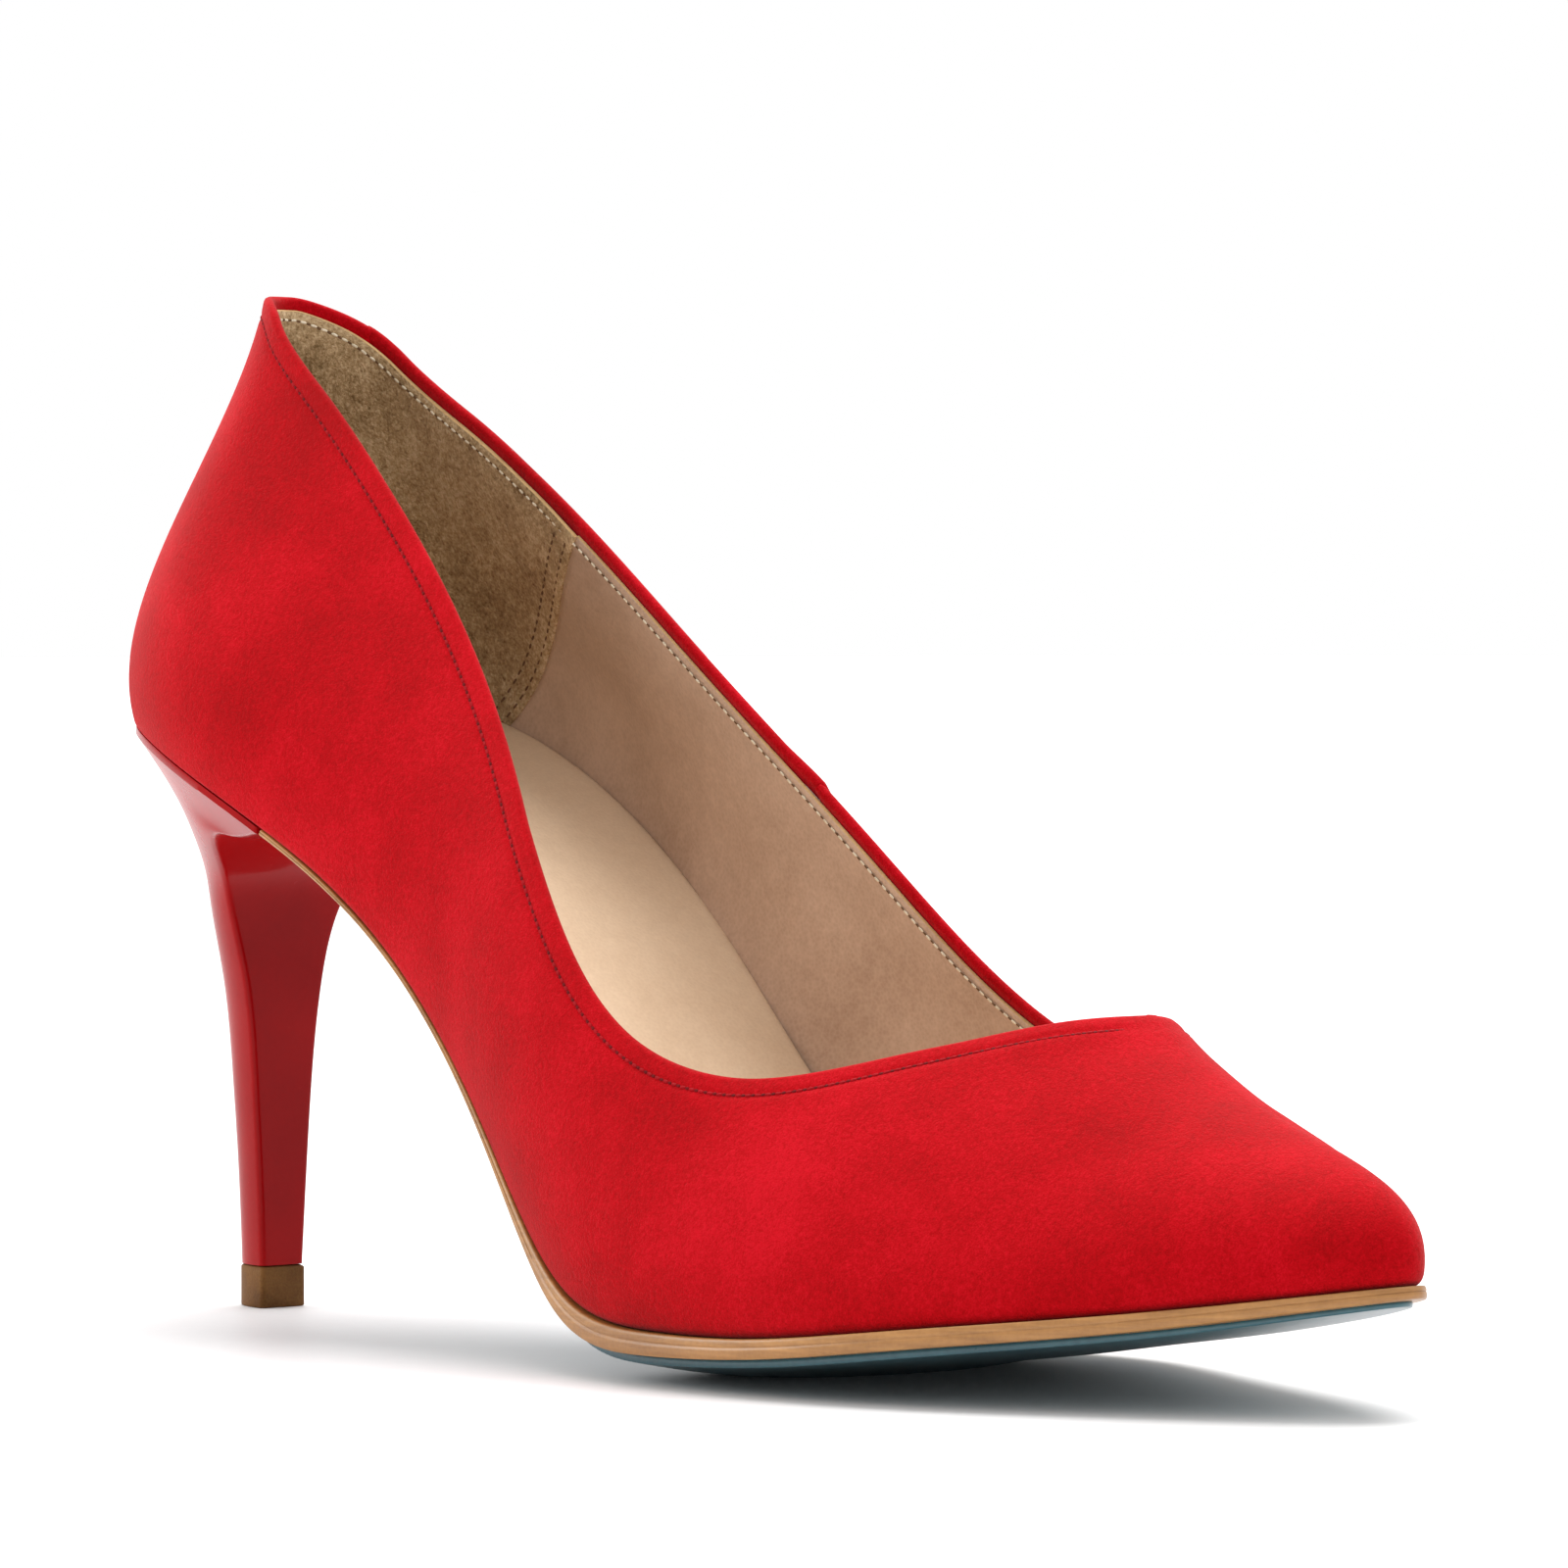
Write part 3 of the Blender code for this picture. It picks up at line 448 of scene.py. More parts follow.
class Sheet:
    """A grid of points on the last, welded where columns meet, with its normals."""

    def __init__(self, grid, closed=True, flip=False):
        cols, rows = grid.shape[:2]
        flat = grid.reshape(-1, 3)
        keys = np.round(flat / WELD).astype(np.int64)
        _, self.first, index = np.unique(keys, axis=0, return_index=True, return_inverse=True)
        self.index = index.reshape(cols, rows)
        self.points = flat[self.first]
        nxt = (np.arange(cols) + 1) % cols if closed else np.arange(1, cols)
        here = np.arange(len(nxt))
        a = self.index[here][:, :-1]
        b = self.index[here][:, 1:]
        c = self.index[nxt][:, 1:]
        d = self.index[nxt][:, :-1]
        quads = np.stack([a, d, c, b] if flip else [a, b, c, d], axis=-1)
        self.quads = quads
        self.normals = self.vertex_normals()

    def vertex_normals(self):
        quads = self.quads.reshape(-1, 4)
        p = self.points
        across = np.cross(p[quads[:, 2]] - p[quads[:, 0]], p[quads[:, 3]] - p[quads[:, 1]])
        made = np.zeros_like(p)
        for k in range(4):
            np.add.at(made, quads[:, k], across)
        length = np.linalg.norm(made, axis=1)
        return made / np.maximum(length, 1e-12)[:, None]

    def per_vertex(self, values):
        """Gives values per column (n, 1) or per row (n) to the vertices."""
        return np.broadcast_to(values, self.index.shape).reshape(-1)[self.first]

    def on_grid(self, values):
        """Spreads per-vertex values back over the grid."""
        return values[self.index]

    def faces(self, keep=None):
        """Quads (triangles at a pole) of the columns of cells that keep, a mask, holds."""
        chosen = self.quads if keep is None else self.quads[keep]
        found = []
        for quad in chosen.reshape(-1, 4).tolist():
            ring = [a for a, b in zip(quad, quad[1:] + quad[:1]) if a != b]
            if len(set(ring)) > 2:
                found.append(ring)
        return found


def boundary_loops(faces):
    """Directed open edges (start, end) of a face list."""
    edges = dict.fromkeys(pair for face in faces for pair in zip(face, face[1:] + face[:1]))
    return [(a, b) for a, b in edges if (b, a) not in edges]


def rounded_shell(name, sheet, faces, outer, inner, materials, round_of=None, raw=None):
    """Closed piece between two offsets of a sheet (per vertex), with rounded open edges.

    Outer and inner are depths below the sheet. round_of gives each vertex's edge roundness from
    0 (a cut edge) to 1 (a full roll). Edges between raw vertices take the second material.
    """
    used = np.unique(np.concatenate([np.array(f) for f in faces]))
    index = -np.ones(len(sheet.points), int)
    index[used] = np.arange(len(used))
    front = [[int(index[k]) for k in face] for face in faces]
    points = sheet.points[used]
    normals = sheet.normals[used]
    outer_points = points - normals * outer[used][:, None]
    inner_points = points - normals * inner[used][:, None]
    count = len(used)
    edges = boundary_loops(front)
    away = np.zeros((count, 3))
    for a, b in edges:
        along = points[b] - points[a]
        turned = np.cross(along, normals[a] + normals[b])
        away[a] += turned
        away[b] += turned
    length = np.linalg.norm(away, axis=1)
    away /= np.maximum(length, 1e-12)[:, None]
    rim = np.array(sorted({k for edge in edges for k in edge}))
    place = {int(k): i for i, k in enumerate(rim)}
    middle = (outer_points[rim] + inner_points[rim]) / 2
    half = (outer_points[rim] - inner_points[rim]) / 2
    radius = np.linalg.norm(half, axis=1)
    roundness = np.ones(len(rim)) if round_of is None else round_of[used][rim]
    rows = []
    for k in range(1, ROUND_STEPS):
        turn = math.pi * k / ROUND_STEPS
        swell = away[rim] * (radius * math.sin(turn) * roundness)[:, None]
        rows.append(middle + half * math.cos(turn) + swell)
    base = 2 * count
    faces_out = front + [[k + count for k in reversed(face)] for face in front]
    indices = [0] * len(faces_out)
    raw_used = np.zeros(count, bool) if raw is None else raw[used]
    for a, b in edges:
        chain_a = [a] + [base + r * len(rim) + place[a] for r in range(len(rows))] + [a + count]
        chain_b = [b] + [base + r * len(rim) + place[b] for r in range(len(rows))] + [b + count]
        for r in range(len(chain_a) - 1):
            faces_out.append([chain_b[r], chain_a[r], chain_a[r + 1], chain_b[r + 1]])
            indices.append(int(raw_used[a] and raw_used[b]))
    points_out = np.vstack([outer_points, inner_points, *rows])
    return new_mesh(name, points_out, faces_out, materials, indices)


# ---- Materials -----------------------------------------------------------------------------------
class Look:
    """One procedural material, built node by node."""

    def __init__(self, name, roughness, **sockets):
        self.material = bpy.data.materials.new(name)
        self.material.use_nodes = True
        self.tree = self.material.node_tree
        self.shader = self.tree.nodes["Principled BSDF"]
        self.shader.inputs["Roughness"].default_value = roughness
        for socket, value in sockets.items():
            self.shader.inputs[socket.replace("_", " ")].default_value = value
        self.place = self.node("ShaderNodeTexCoord").outputs["Object"]

    def node(self, kind, settings=(), **inputs):
        made = self.tree.nodes.new(kind)
        for key, value in settings:
            setattr(made, key, value)
        for key, value in inputs.items():
            socket = made.inputs[int(key[1:])] if key[1:].isdigit() else made.inputs[key]
            if isinstance(value, bpy.types.NodeSocket):
                self.tree.links.new(value, socket)
            else:
                socket.default_value = value
        return made

    def noise(self, size_mm, detail=3.0, roughness=0.55, stretch=None):
        """Noise whose features are about size_mm across."""
        place = self.place
        if stretch is not None:
            place = self.node("ShaderNodeMapping", Vector=self.place, Scale=stretch).outputs[0]
        return self.node(
            "ShaderNodeTexNoise", Vector=place, Scale=1000.0 / size_mm, Detail=detail,
            Roughness=roughness,
        ).outputs["Fac"]

    def cells(self, size_mm, output="Distance"):
        return self.node(
            "ShaderNodeTexVoronoi", Vector=self.place, Scale=1000.0 / size_mm,
        ).outputs[output]

    def math(self, operation, a, b=0.0):
        return self.node("ShaderNodeMath", [("operation", operation)], _0=a, _1=b).outputs[0]

    def blend(self, parts):
        """Weighted sum of (socket, weight) pairs."""
        total = None
        for socket, weight in parts:
            term = self.math("MULTIPLY", socket, weight)
            total = term if total is None else self.math("ADD", total, term)
        return total

    def ramp(self, factor, stops):
        made = self.node("ShaderNodeValToRGB", Fac=factor)
        elements = made.color_ramp.elements
        while len(elements) < len(stops):
            elements.new(0.5)
        for element, (position, colour) in zip(elements, stops):
            element.position = position
            element.color = (*colour, 1.0)
        return made.outputs[0]

    def colour(self, factor, stops):
        self.tree.links.new(self.ramp(factor, stops), self.shader.inputs["Base Color"])

    def rough(self, factor, low, high):
        made = self.node("ShaderNodeMapRange", Value=factor)
        made.inputs["To Min"].default_value = low
        made.inputs["To Max"].default_value = high
        self.tree.links.new(made.outputs[0], self.shader.inputs["Roughness"])

    def bump(self, height, depth_mm, strength=1.0):
        made = self.node("ShaderNodeBump", Height=height, Strength=strength)
        made.inputs["Distance"].default_value = depth_mm * MM
        self.tree.links.new(made.outputs["Normal"], self.shader.inputs["Normal"])


def suede_look(name, dark, middle, light, nap_mm, depth_mm, sheen):
    look = Look(name, 0.92, Sheen_Weight=sheen, Sheen_Roughness=0.4, Specular_IOR_Level=0.05)
    look.shader.inputs["Sheen Tint"].default_value = (1.0, 0.42, 0.42, 1.0)
    patches = look.noise(26.0, 2.0, 0.5)
    brushed = look.noise(6.0, 4.0, 0.6)
    nap = look.noise(nap_mm, 3.0, 0.7)
    fibre = look.noise(nap_mm * 0.35, 2.0, 0.6)
    tone = look.blend([(patches, 0.30), (brushed, 0.16), (nap, 0.28), (fibre, 0.26)])
    look.colour(tone, [(0.40, dark), (0.5, middle), (0.60, light)])
    look.rough(brushed, 0.82, 0.97)
    look.bump(look.blend([(nap, 0.6), (fibre, 0.4)]), depth_mm)
    return look.material


def leather_look(name, dark, light, grain_mm, roughness, depth_mm, coat=0.0):
    look = Look(name, roughness, Specular_IOR_Level=0.45, Coat_Weight=coat, Coat_Roughness=0.35)
    patches = look.noise(30.0, 3.0, 0.55)
    fine = look.noise(2.2, 3.0, 0.6)
    grain = look.cells(grain_mm)
    pores = look.noise(grain_mm * 0.6, 2.0, 0.6)
    tone = look.blend([(patches, 0.6), (fine, 0.25), (grain, 0.15)])
    look.colour(tone, [(0.34, dark), (0.62, light)])
    look.rough(look.blend([(patches, 0.5), (fine, 0.5)]), roughness - 0.08, roughness + 0.14)
    look.bump(look.blend([(grain, 0.7), (pores, 0.5)]), depth_mm)
    return look.material


def lacquer_look(name, dark, light):
    look = Look(name, 0.4, Coat_Weight=0.13, Coat_Roughness=0.08, Specular_IOR_Level=0.03)
    drift = look.noise(18.0, 2.0, 0.5)
    specks = look.noise(0.9, 2.0, 0.6)
    tone = look.blend([(drift, 0.8), (specks, 0.2)])
    look.colour(tone, [(0.35, dark), (0.65, light)])
    look.rough(specks, 0.2, 0.3)
    look.bump(look.blend([(drift, 0.8), (specks, 0.06)]), 0.12)
    return look.material


def edge_look(name, dark, light, roughness):
    """Waxed, layered edge: fine streaks that run along it, level with the floor."""
    look = Look(name, roughness, Specular_IOR_Level=0.5)
    streaks = look.noise(9.0, 4.0, 0.6, (1.0, 1.0, 14.0))
    fine = look.noise(0.7, 3.0, 0.6)
    patches = look.noise(14.0, 2.0, 0.5)
    tone = look.blend([(streaks, 0.45), (fine, 0.2), (patches, 0.35)])
    look.colour(tone, [(0.33, dark), (0.66, light)])
    look.rough(fine, roughness - 0.08, roughness + 0.12)
    look.bump(look.blend([(streaks, 0.5), (fine, 0.5)]), 0.06)
    return look.material


def rubber_look(name, dark, light, roughness=0.55):
    look = Look(name, roughness, Specular_IOR_Level=0.12)
    patches = look.noise(5.0, 3.0, 0.6)
    fine = look.noise(0.35, 2.0, 0.6)
    look.colour(look.blend([(patches, 0.6), (fine, 0.4)]), [(0.35, dark), (0.65, light)])
    look.rough(patches, roughness - 0.1, roughness + 0.12)
    look.bump(fine, 0.05)
    return look.material


def thread_look(name, dark, light):
    look = Look(name, 0.75, Specular_IOR_Level=0.1)
    twist = look.noise(0.22, 2.0, 0.5)
    drift = look.noise(6.0, 2.0, 0.5)
    look.colour(look.blend([(twist, 0.6), (drift, 0.4)]), [(0.35, dark), (0.65, light)])
    look.rough(twist, 0.5, 0.75)
    look.bump(twist, 0.08)
    return look.material


def steel_look(name):
    look = Look(name, 0.3, Metallic=1.0)
    brushed = look.noise(0.5, 3.0, 0.6, (1.0, 1.0, 20.0))
    look.colour(brushed, [(0.3, (0.42, 0.42, 0.43)), (0.7, (0.62, 0.62, 0.63))])
    look.rough(brushed, 0.25, 0.42)
    look.bump(brushed, 0.01)
    return look.material


def floor_look():
    look = Look("floor_paper", 0.5, Specular_IOR_Level=0.06)
    fibres = look.noise(3.0, 3.0, 0.6)
    look.colour(fibres, [(0.3, (0.73, 0.73, 0.73)), (0.7, (0.75, 0.75, 0.75))])
    look.rough(fibres, 0.42, 0.5)
    look.bump(fibres, 0.005)
    return look.material


RED_SUEDE = suede_look(
    "red_suede", (0.28, 0.0005, 0.0020), (0.385, 0.0010, 0.0042), (0.50, 0.0036, 0.0110), 0.6, 0.2,
    0.18,
)
GRIP_SUEDE = suede_look(
    "grip_suede", (0.19, 0.12, 0.055), (0.42, 0.29, 0.155), (0.66, 0.50, 0.31), 1.2, 0.7, 0.1
)
LINING_LEATHER = leather_look(
    "lining_leather", (0.42, 0.275, 0.19), (0.60, 0.425, 0.315), 0.55, 0.34, 0.05, 0.35
)
SOCK_LEATHER = leather_look("sock_leather", (0.69, 0.50, 0.33), (0.80, 0.61, 0.42), 0.5, 0.5, 0.03)
RAW_EDGE = leather_look("raw_leather_edge", (0.44, 0.26, 0.10), (0.66, 0.44, 0.20), 0.3, 0.8, 0.08)
SOLE_TAN = edge_look("sole_edge_tan", (0.23, 0.095, 0.022), (0.44, 0.21, 0.06), 0.32)
SOLE_TEAL = leather_look(
    "tread_teal", (0.010, 0.060, 0.080), (0.025, 0.10, 0.125), 0.9, 0.28, 0.012, 0.3
)
HEEL_LACQUER = lacquer_look("heel_lacquer", (0.26, 0.0015, 0.0025), (0.33, 0.0025, 0.0035))
TIP_RUBBER = rubber_look("tip_rubber", (0.10, 0.040, 0.009), (0.18, 0.080, 0.022))
RED_THREAD = thread_look("red_thread", (0.22, 0.0015, 0.004), (0.36, 0.0025, 0.007))
# Painted shade: dark red beads between the outer stitches stand for the shade in the needle holes.
NEEDLE_HOLE_SHADE = thread_look("needle_hole_painted_shade", (0.09, 0.0012, 0.0018), (0.15, 0.002, 0.003))
CREAM_THREAD = thread_look("cream_thread", (0.62, 0.52, 0.36), (0.86, 0.78, 0.62))
# Brown thread of the grip rows; in the cream lining row also the painted shade of the needle holes.
BROWN_THREAD_AND_HOLE_SHADE = thread_look("brown_thread_and_hole_shade", (0.10, 0.055, 0.028), (0.19, 0.11, 0.06))
STEEL = steel_look("brushed_steel")
HIDDEN_CLOTH = thread_look("cotton_backing", (0.60, 0.58, 0.54), (0.76, 0.74, 0.70))
HIDDEN_BOARD = edge_look("pressed_board", (0.34, 0.24, 0.14), (0.50, 0.38, 0.24), 0.8)


# ---- Upper ---------------------------------------------------------------------------------------
MARGIN_RUNS = np.array([10.0, 8.0, 6.5, 5.2, 4.2, 3.4, 2.8, 2.2, 1.7, 1.3, 0.9, 0.6, 0.3])
FOOT_ROWS = np.array([0.0, 0.3, 0.6, 0.9, 1.3, 1.7, 2.2, 2.8, 3.6, 4.6])
TOP_ROWS = np.array([
    5.2, 4.6, 4.1, 3.7, 3.4, 3.15, 2.9, 2.65, 2.4, 2.1, 1.7, 1.3, 0.9, 0.5, 0.2, 0.0,
])
MIDDLE_ROWS = 58


def wall_lengths(totals):
    """Distances up each column: dense at the feather and at the top, even between."""
    foot = np.broadcast_to(FOOT_ROWS, (len(totals), len(FOOT_ROWS)))
    top = totals[:, None] - TOP_ROWS
    share = np.linspace(0, 1, MIDDLE_ROWS + 2)[1:-1]
    low = FOOT_ROWS[-1]
    span = (totals - TOP_ROWS[0] - low)[:, None]
    return np.hstack([foot, low + span * share, top])


def upper_grid():
    """Outer skin from 10 mm under the foot to the topline or ridge, with a rounded feather."""
    totals = np.array([chord_lengths(path)[-1] for path in WALLS])
    wall = resample(WALLS, wall_lengths(totals))
    narrow = np.minimum(1.0, 0.5 * REACH / MARGIN_RUNS[0])
    runs = narrow[:, None] * MARGIN_RUNS
    margin = bottom_paths(runs)
    corner = wall[:, 0]
    radius = np.interp(STATION, *np.array(FEATHER_ROUND).T)[:, None]
    low = bottom_paths(radius)[:, 0]
    high = resample(WALLS, radius)[:, 0]
    for rows, signed in ((margin, -runs), (wall, wall_lengths(totals))):
        t = np.clip((signed + radius) / (2 * radius), 0, 1)[..., None]
        inside = (np.abs(signed) < radius)[..., None]
        bent = (1 - t) ** 2 * low[:, None] + 2 * t * (1 - t) * corner[:, None] + t**2 * high[:, None]
        rows[:] = np.where(inside, bent, rows)
    return np.concatenate([margin, wall], axis=1)


def cell_stations():
    """(side, station) in the middle of each cell between neighbouring columns."""
    side = np.where(np.arange(len(STATION)) < np.argmax(STATION), -1, 1)
    return side, (STATION + np.roll(STATION, -1)) / 2


CELL_SIDE, CELL_STATION = cell_stations()


def smooth_step(x):
    x = np.clip(x, 0, 1)
    return x * x * (3 - 2 * x)


def build_upper():
    """The two suede pieces, with a folded topline, a stitch groove and a lapped quarter."""
    sheet = Sheet(upper_grid(), flip=True)
    distance = to_topline(sheet.points)
    station = sheet.per_vertex(TOP_STATION[:, None])
    lip = THROAT_LIP * np.exp(-((distance / THROAT_LIP_WIDTH) ** 2))
    lip = lip * smooth_step((station - THROAT + 14.0) / 14.0)
    sheet.points[:, 2] += lip
    groove = STITCH_GROOVE * np.exp(-(((distance - STITCH_BELOW_EDGE) / 0.55) ** 2))
    fold = smooth_step((FOLD_WIDTH - distance) / 1.0)
    thick = SUEDE_THICK + (FOLD_THICK - SUEDE_THICK) * fold
    inner_cells = (CELL_SIDE > 0) & (CELL_STATION > BACK_SEAM) & (CELL_STATION < QUARTER_SEAM)
    vertex_station = sheet.per_vertex(STATION[:, None])
    to_seam = np.minimum(vertex_station - BACK_SEAM, QUARTER_SEAM - vertex_station)
    lift = SEAM_LIFT * smooth_step(1 - np.abs(to_seam) / SEAM_LIFT_WIDTH)
    height = sheet.points[:, 2]
    lift = lift * smooth_step((height - feather_z(vertex_station) - 2.0) / 6.0)
    vamp = rounded_shell(
        "vamp_and_outer_quarter_suede", sheet, sheet.faces(~inner_cells), groove, thick,
        [RED_SUEDE],
    )
    quarter = rounded_shell(
        "inner_quarter_suede", sheet, sheet.faces(inner_cells), groove - lift, thick - lift,
        [RED_SUEDE],
    )
    return sheet, vamp, quarter


def contour(points, normals, values, level):
    """Smoothed line, with its normals, where the values up each column first pass a level."""
    line = []
    for i in range(len(points)):
        below = np.nonzero(values[i] < level)[0]
        if len(below) == 0 or below[0] == 0:
            continue
        j = below[0]
        t = (values[i, j - 1] - level) / (values[i, j - 1] - values[i, j])
        point = points[i, j - 1] * (1 - t) + points[i, j] * t
        normal = normals[i, j - 1] * (1 - t) + normals[i, j] * t
        line.append((point, normal))
    return [smoothed(np.array(part), LINE_SMOOTHING) for part in zip(*line)]


def even_line(points, normals, step, closed):
    """Resamples a line of surface points, with its normals, to even steps."""
    if closed:
        points = np.vstack([points, points[:1]])
        normals = np.vstack([normals, normals[:1]])
    along = chord_lengths(points)
    count = max(2, int(round(along[-1] / step)))
    at = np.linspace(0, along[-1], count, endpoint=not closed)
    place = points_along(at, along, points)
    normal = points_along(at, along, normals)
    return place, normal / np.linalg.norm(normal, axis=1)[:, None]


def smoothed(values, passes):
    for _ in range(passes):
        values = (np.roll(values, 1, axis=0) + 2 * values + np.roll(values, -1, axis=0)) / 4
    return values


CAPSULE = [
    (-1.0, 0.0), (-0.93, 0.45), (-0.7, 0.82), (-0.3, 1.0), (0.3, 1.0), (0.7, 0.82), (0.93, 0.45),
    (1.0, 0.0),
]


def beads(name, places, alongs, normals, half_length, radius, squash, look, sides=8):
    """Small capsules laid on a surface: one per place, along its direction."""
    points = []
    faces = []
    turns = np.arange(sides) * 2 * math.pi / sides
    for place, along, normal in zip(places, alongs, normals):
        across = np.cross(normal, along)
        base = len(points)
        for t, wide in CAPSULE[1:-1]:
            centre = place + along * (t * half_length)
            for turn in turns:
                out = across * math.cos(turn) + normal * (math.sin(turn) * squash)
                points.append(centre + out * (radius * wide))
        points.append(place - along * half_length)
        points.append(place + along * half_length)
        rings = len(CAPSULE) - 2
        for r in range(rings - 1):
            for k in range(sides):
                a = base + r * sides + k
                b = base + r * sides + (k + 1) % sides
                faces.append([a, b, b + sides, a + sides])
        first = base + rings * sides
        for k in range(sides):
            faces.append([first, base + (k + 1) % sides, base + k])
            last = base + (rings - 1) * sides
            faces.append([first + 1, last + k, last + (k + 1) % sides])
    return new_mesh(name, np.array(points), faces, [look], smooth_angle=80.0)


def directions(points, closed):
    if closed:
        step = np.roll(points, -1, axis=0) - np.roll(points, 1, axis=0)
    else:
        step = np.gradient(points, axis=0)
    return step / np.linalg.norm(step, axis=1)[:, None]


def stitch_row(name, points, normals, pitch, share, radius, lift, looks, closed, hole_shade_lift=0.0):
    """Stitches along a surface line, and between each two a dark bead: painted shade in the needle
    holes.
    """
    thread, hole_shade = looks
    place, normal = even_line(points, normals, pitch, closed)
    along = directions(place, closed)
    rng = np.random.default_rng(len(place))
    tilt = rng.normal(0, 0.05, len(place))
    across = np.cross(normal, along)
    turned = along * np.cos(tilt)[:, None] + across * np.sin(tilt)[:, None]
    threads = beads(
        name, place + normal * lift, turned, normal, pitch * share / 2, radius, 0.7, thread
    )
    # Painted shade of the needle holes, one dark bead between each two stitches.
    between = (place + np.roll(place, -1, axis=0)) / 2
    keep = len(place) if closed else len(place) - 1
    hole_shades = beads(
        f"{name}_holes", (between + normal * hole_shade_lift)[:keep], along[:keep], normal[:keep],
        pitch * 0.2, radius * 0.95, 0.35, hole_shade, 6,
    )
    return [threads, hole_shades]


def build_topline_stitches(sheet):
    points = sheet.on_grid(sheet.points)
    normals = sheet.on_grid(sheet.normals)
    values = sheet.on_grid(to_topline(sheet.points))
    line, facing = contour(points, normals, values, STITCH_BELOW_EDGE)
    return stitch_row(
        "topline_stitches", line, facing, 1.4, 0.6, 0.21, -0.12, (RED_THREAD, NEEDLE_HOLE_SHADE), True,
        -0.1,
    )


# ---- Inside --------------------------------------------------------------------------------------
def trimmed_lengths(distance):
    """How far up each column the lining runs, to stay `distance` below the topline."""
    totals = []
    for path in WALLS:
        along = chord_lengths(path)
        gap = to_topline(path)
        near = np.nonzero(gap < distance)[0]
        if len(near) == 0 or near[0] == 0:
            totals.append(along[-1])
            continue
        j = near[0]
        t = (gap[j - 1] - distance) / (gap[j - 1] - gap[j])
        totals.append(along[j - 1] + t * (along[j] - along[j - 1]))
    return np.array(totals)


LINING_ROWS = 56


def lining_grid():
    totals = trimmed_lengths(LINING_TRIM)
    even = np.linspace(0, 1, LINING_ROWS)
    lengths = LINING_START + (totals - LINING_START)[:, None] * even
    return resample(WALLS, lengths)


def build_linings():
    """Front and side lining, and the suede heel grip lapped over it behind."""
    sheet = Sheet(lining_grid(), flip=True)
    grip = CELL_STATION < GRIP_SEAM
    count = len(sheet.points)
    vertex_station = sheet.per_vertex(STATION[:, None])
    wave = np.sin(sheet.points[:, 0] * 0.35 + sheet.points[:, 2] * 0.2) * 0.05
    distance = to_topline(sheet.points)
    outer = np.full(count, LINING_DEPTH[0])
    inner = LINING_DEPTH[1] + wave - 0.3 * np.exp(-np.maximum(distance - LINING_TRIM, 0) / 0.8)
    top = distance < LINING_TRIM + 0.6
    cut = np.full(count, 0.35)
    lining = rounded_shell(
        "vamp_lining_leather", sheet, sheet.faces(~grip), outer, inner, [LINING_LEATHER, RAW_EDGE],
        cut, top,
    )
    lap = 0.25 * smooth_step(1 - np.abs(vertex_station - GRIP_SEAM) / 4.0)
    grip_piece = rounded_shell(
        "heel_grip_suede", sheet, sheet.faces(grip), outer + lap, inner + 0.15 + lap,
        [GRIP_SUEDE, RAW_EDGE], cut, top,
    )
    return sheet, lining, grip_piece


def build_lining_stitches(sheet):
    """Cream row under the topline, and the two brown rows that hold the grip."""
    points = sheet.on_grid(sheet.points - sheet.normals * (LINING_DEPTH[1] + 0.1))
    normals = -sheet.on_grid(sheet.normals)
    values = sheet.on_grid(to_topline(sheet.points))
    line, facing = contour(points, normals, values, STITCH_BELOW_EDGE)
    # Brown beads between the cream stitches: painted shade of the needle holes.
    made = stitch_row(
        "lining_stitches", line, facing, 1.55, 0.6, 0.19, 0.0, (CREAM_THREAD, BROWN_THREAD_AND_HOLE_SHADE), True,
    )
    for side in (-1, 1):
        for k, back in enumerate((1.1, 3.6)):
            line, facing = seam_offset(points, normals, side, back)
            made += stitch_row(
                f"grip_stitches_{'inner' if side > 0 else 'outer'}_{k + 1}", line, facing, 1.7,
                0.6, 0.17, 0.28, (BROWN_THREAD_AND_HOLE_SHADE, BROWN_THREAD_AND_HOLE_SHADE), False,
            )
    return made


def seam_offset(points, normals, side, back):
    """A line that runs `back` mm behind the grip's front edge."""
    order = np.nonzero((SIDE == side) & (STATION <= GRIP_SEAM + 1e-6))[0]
    order = order[np.argsort(-STATION[order])]
    rows = range(3, points.shape[1] - 3)
    line = []
    facing = []
    for j in rows:
        path = points[order, j]
        along = chord_lengths(path)
        line.append(points_along(back, along, path))
        facing.append(points_along(back, along, normals[order, j]))
    return np.array(line), np.array(facing)


SOCK_RINGS = np.concatenate([[0.0, 0.012, 0.03, 0.055], np.linspace(0.09, 1.0, 30)])


def sock_grid(lift, inset):
    """Bed of the shoe at a height above the bottom skin, out to the lining's face."""
    at = resample(WALLS, np.full((len(WALLS), 1), lift + 0.2))[:, 0]
    out = np.einsum("ij,ij->i", at[:, :2] - START, WAY)
    first = out + LINING_DEPTH[1] + inset
    runs = first[:, None] + (REACH - first)[:, None] * SOCK_RINGS
    return bottom_paths(runs)


def build_sock():
    grid = sock_grid(SOCK_LIFT, 0.1)
    sheet = Sheet(grid, flip=False)
    sheet.normals = -sheet.normals * np.sign(sheet.normals[:, 2:])
    ring = sheet.per_vertex(SOCK_RINGS)
    edge = 0.35 * np.exp(-ring / 0.02)
    low = np.full(len(sheet.points), SOCK_LIFT - 0.9)
    high = np.full(len(sheet.points), SOCK_LIFT) - edge
    return rounded_shell("sock_leather_sheet", sheet, sheet.faces(), low, high, [SOCK_LEATHER])


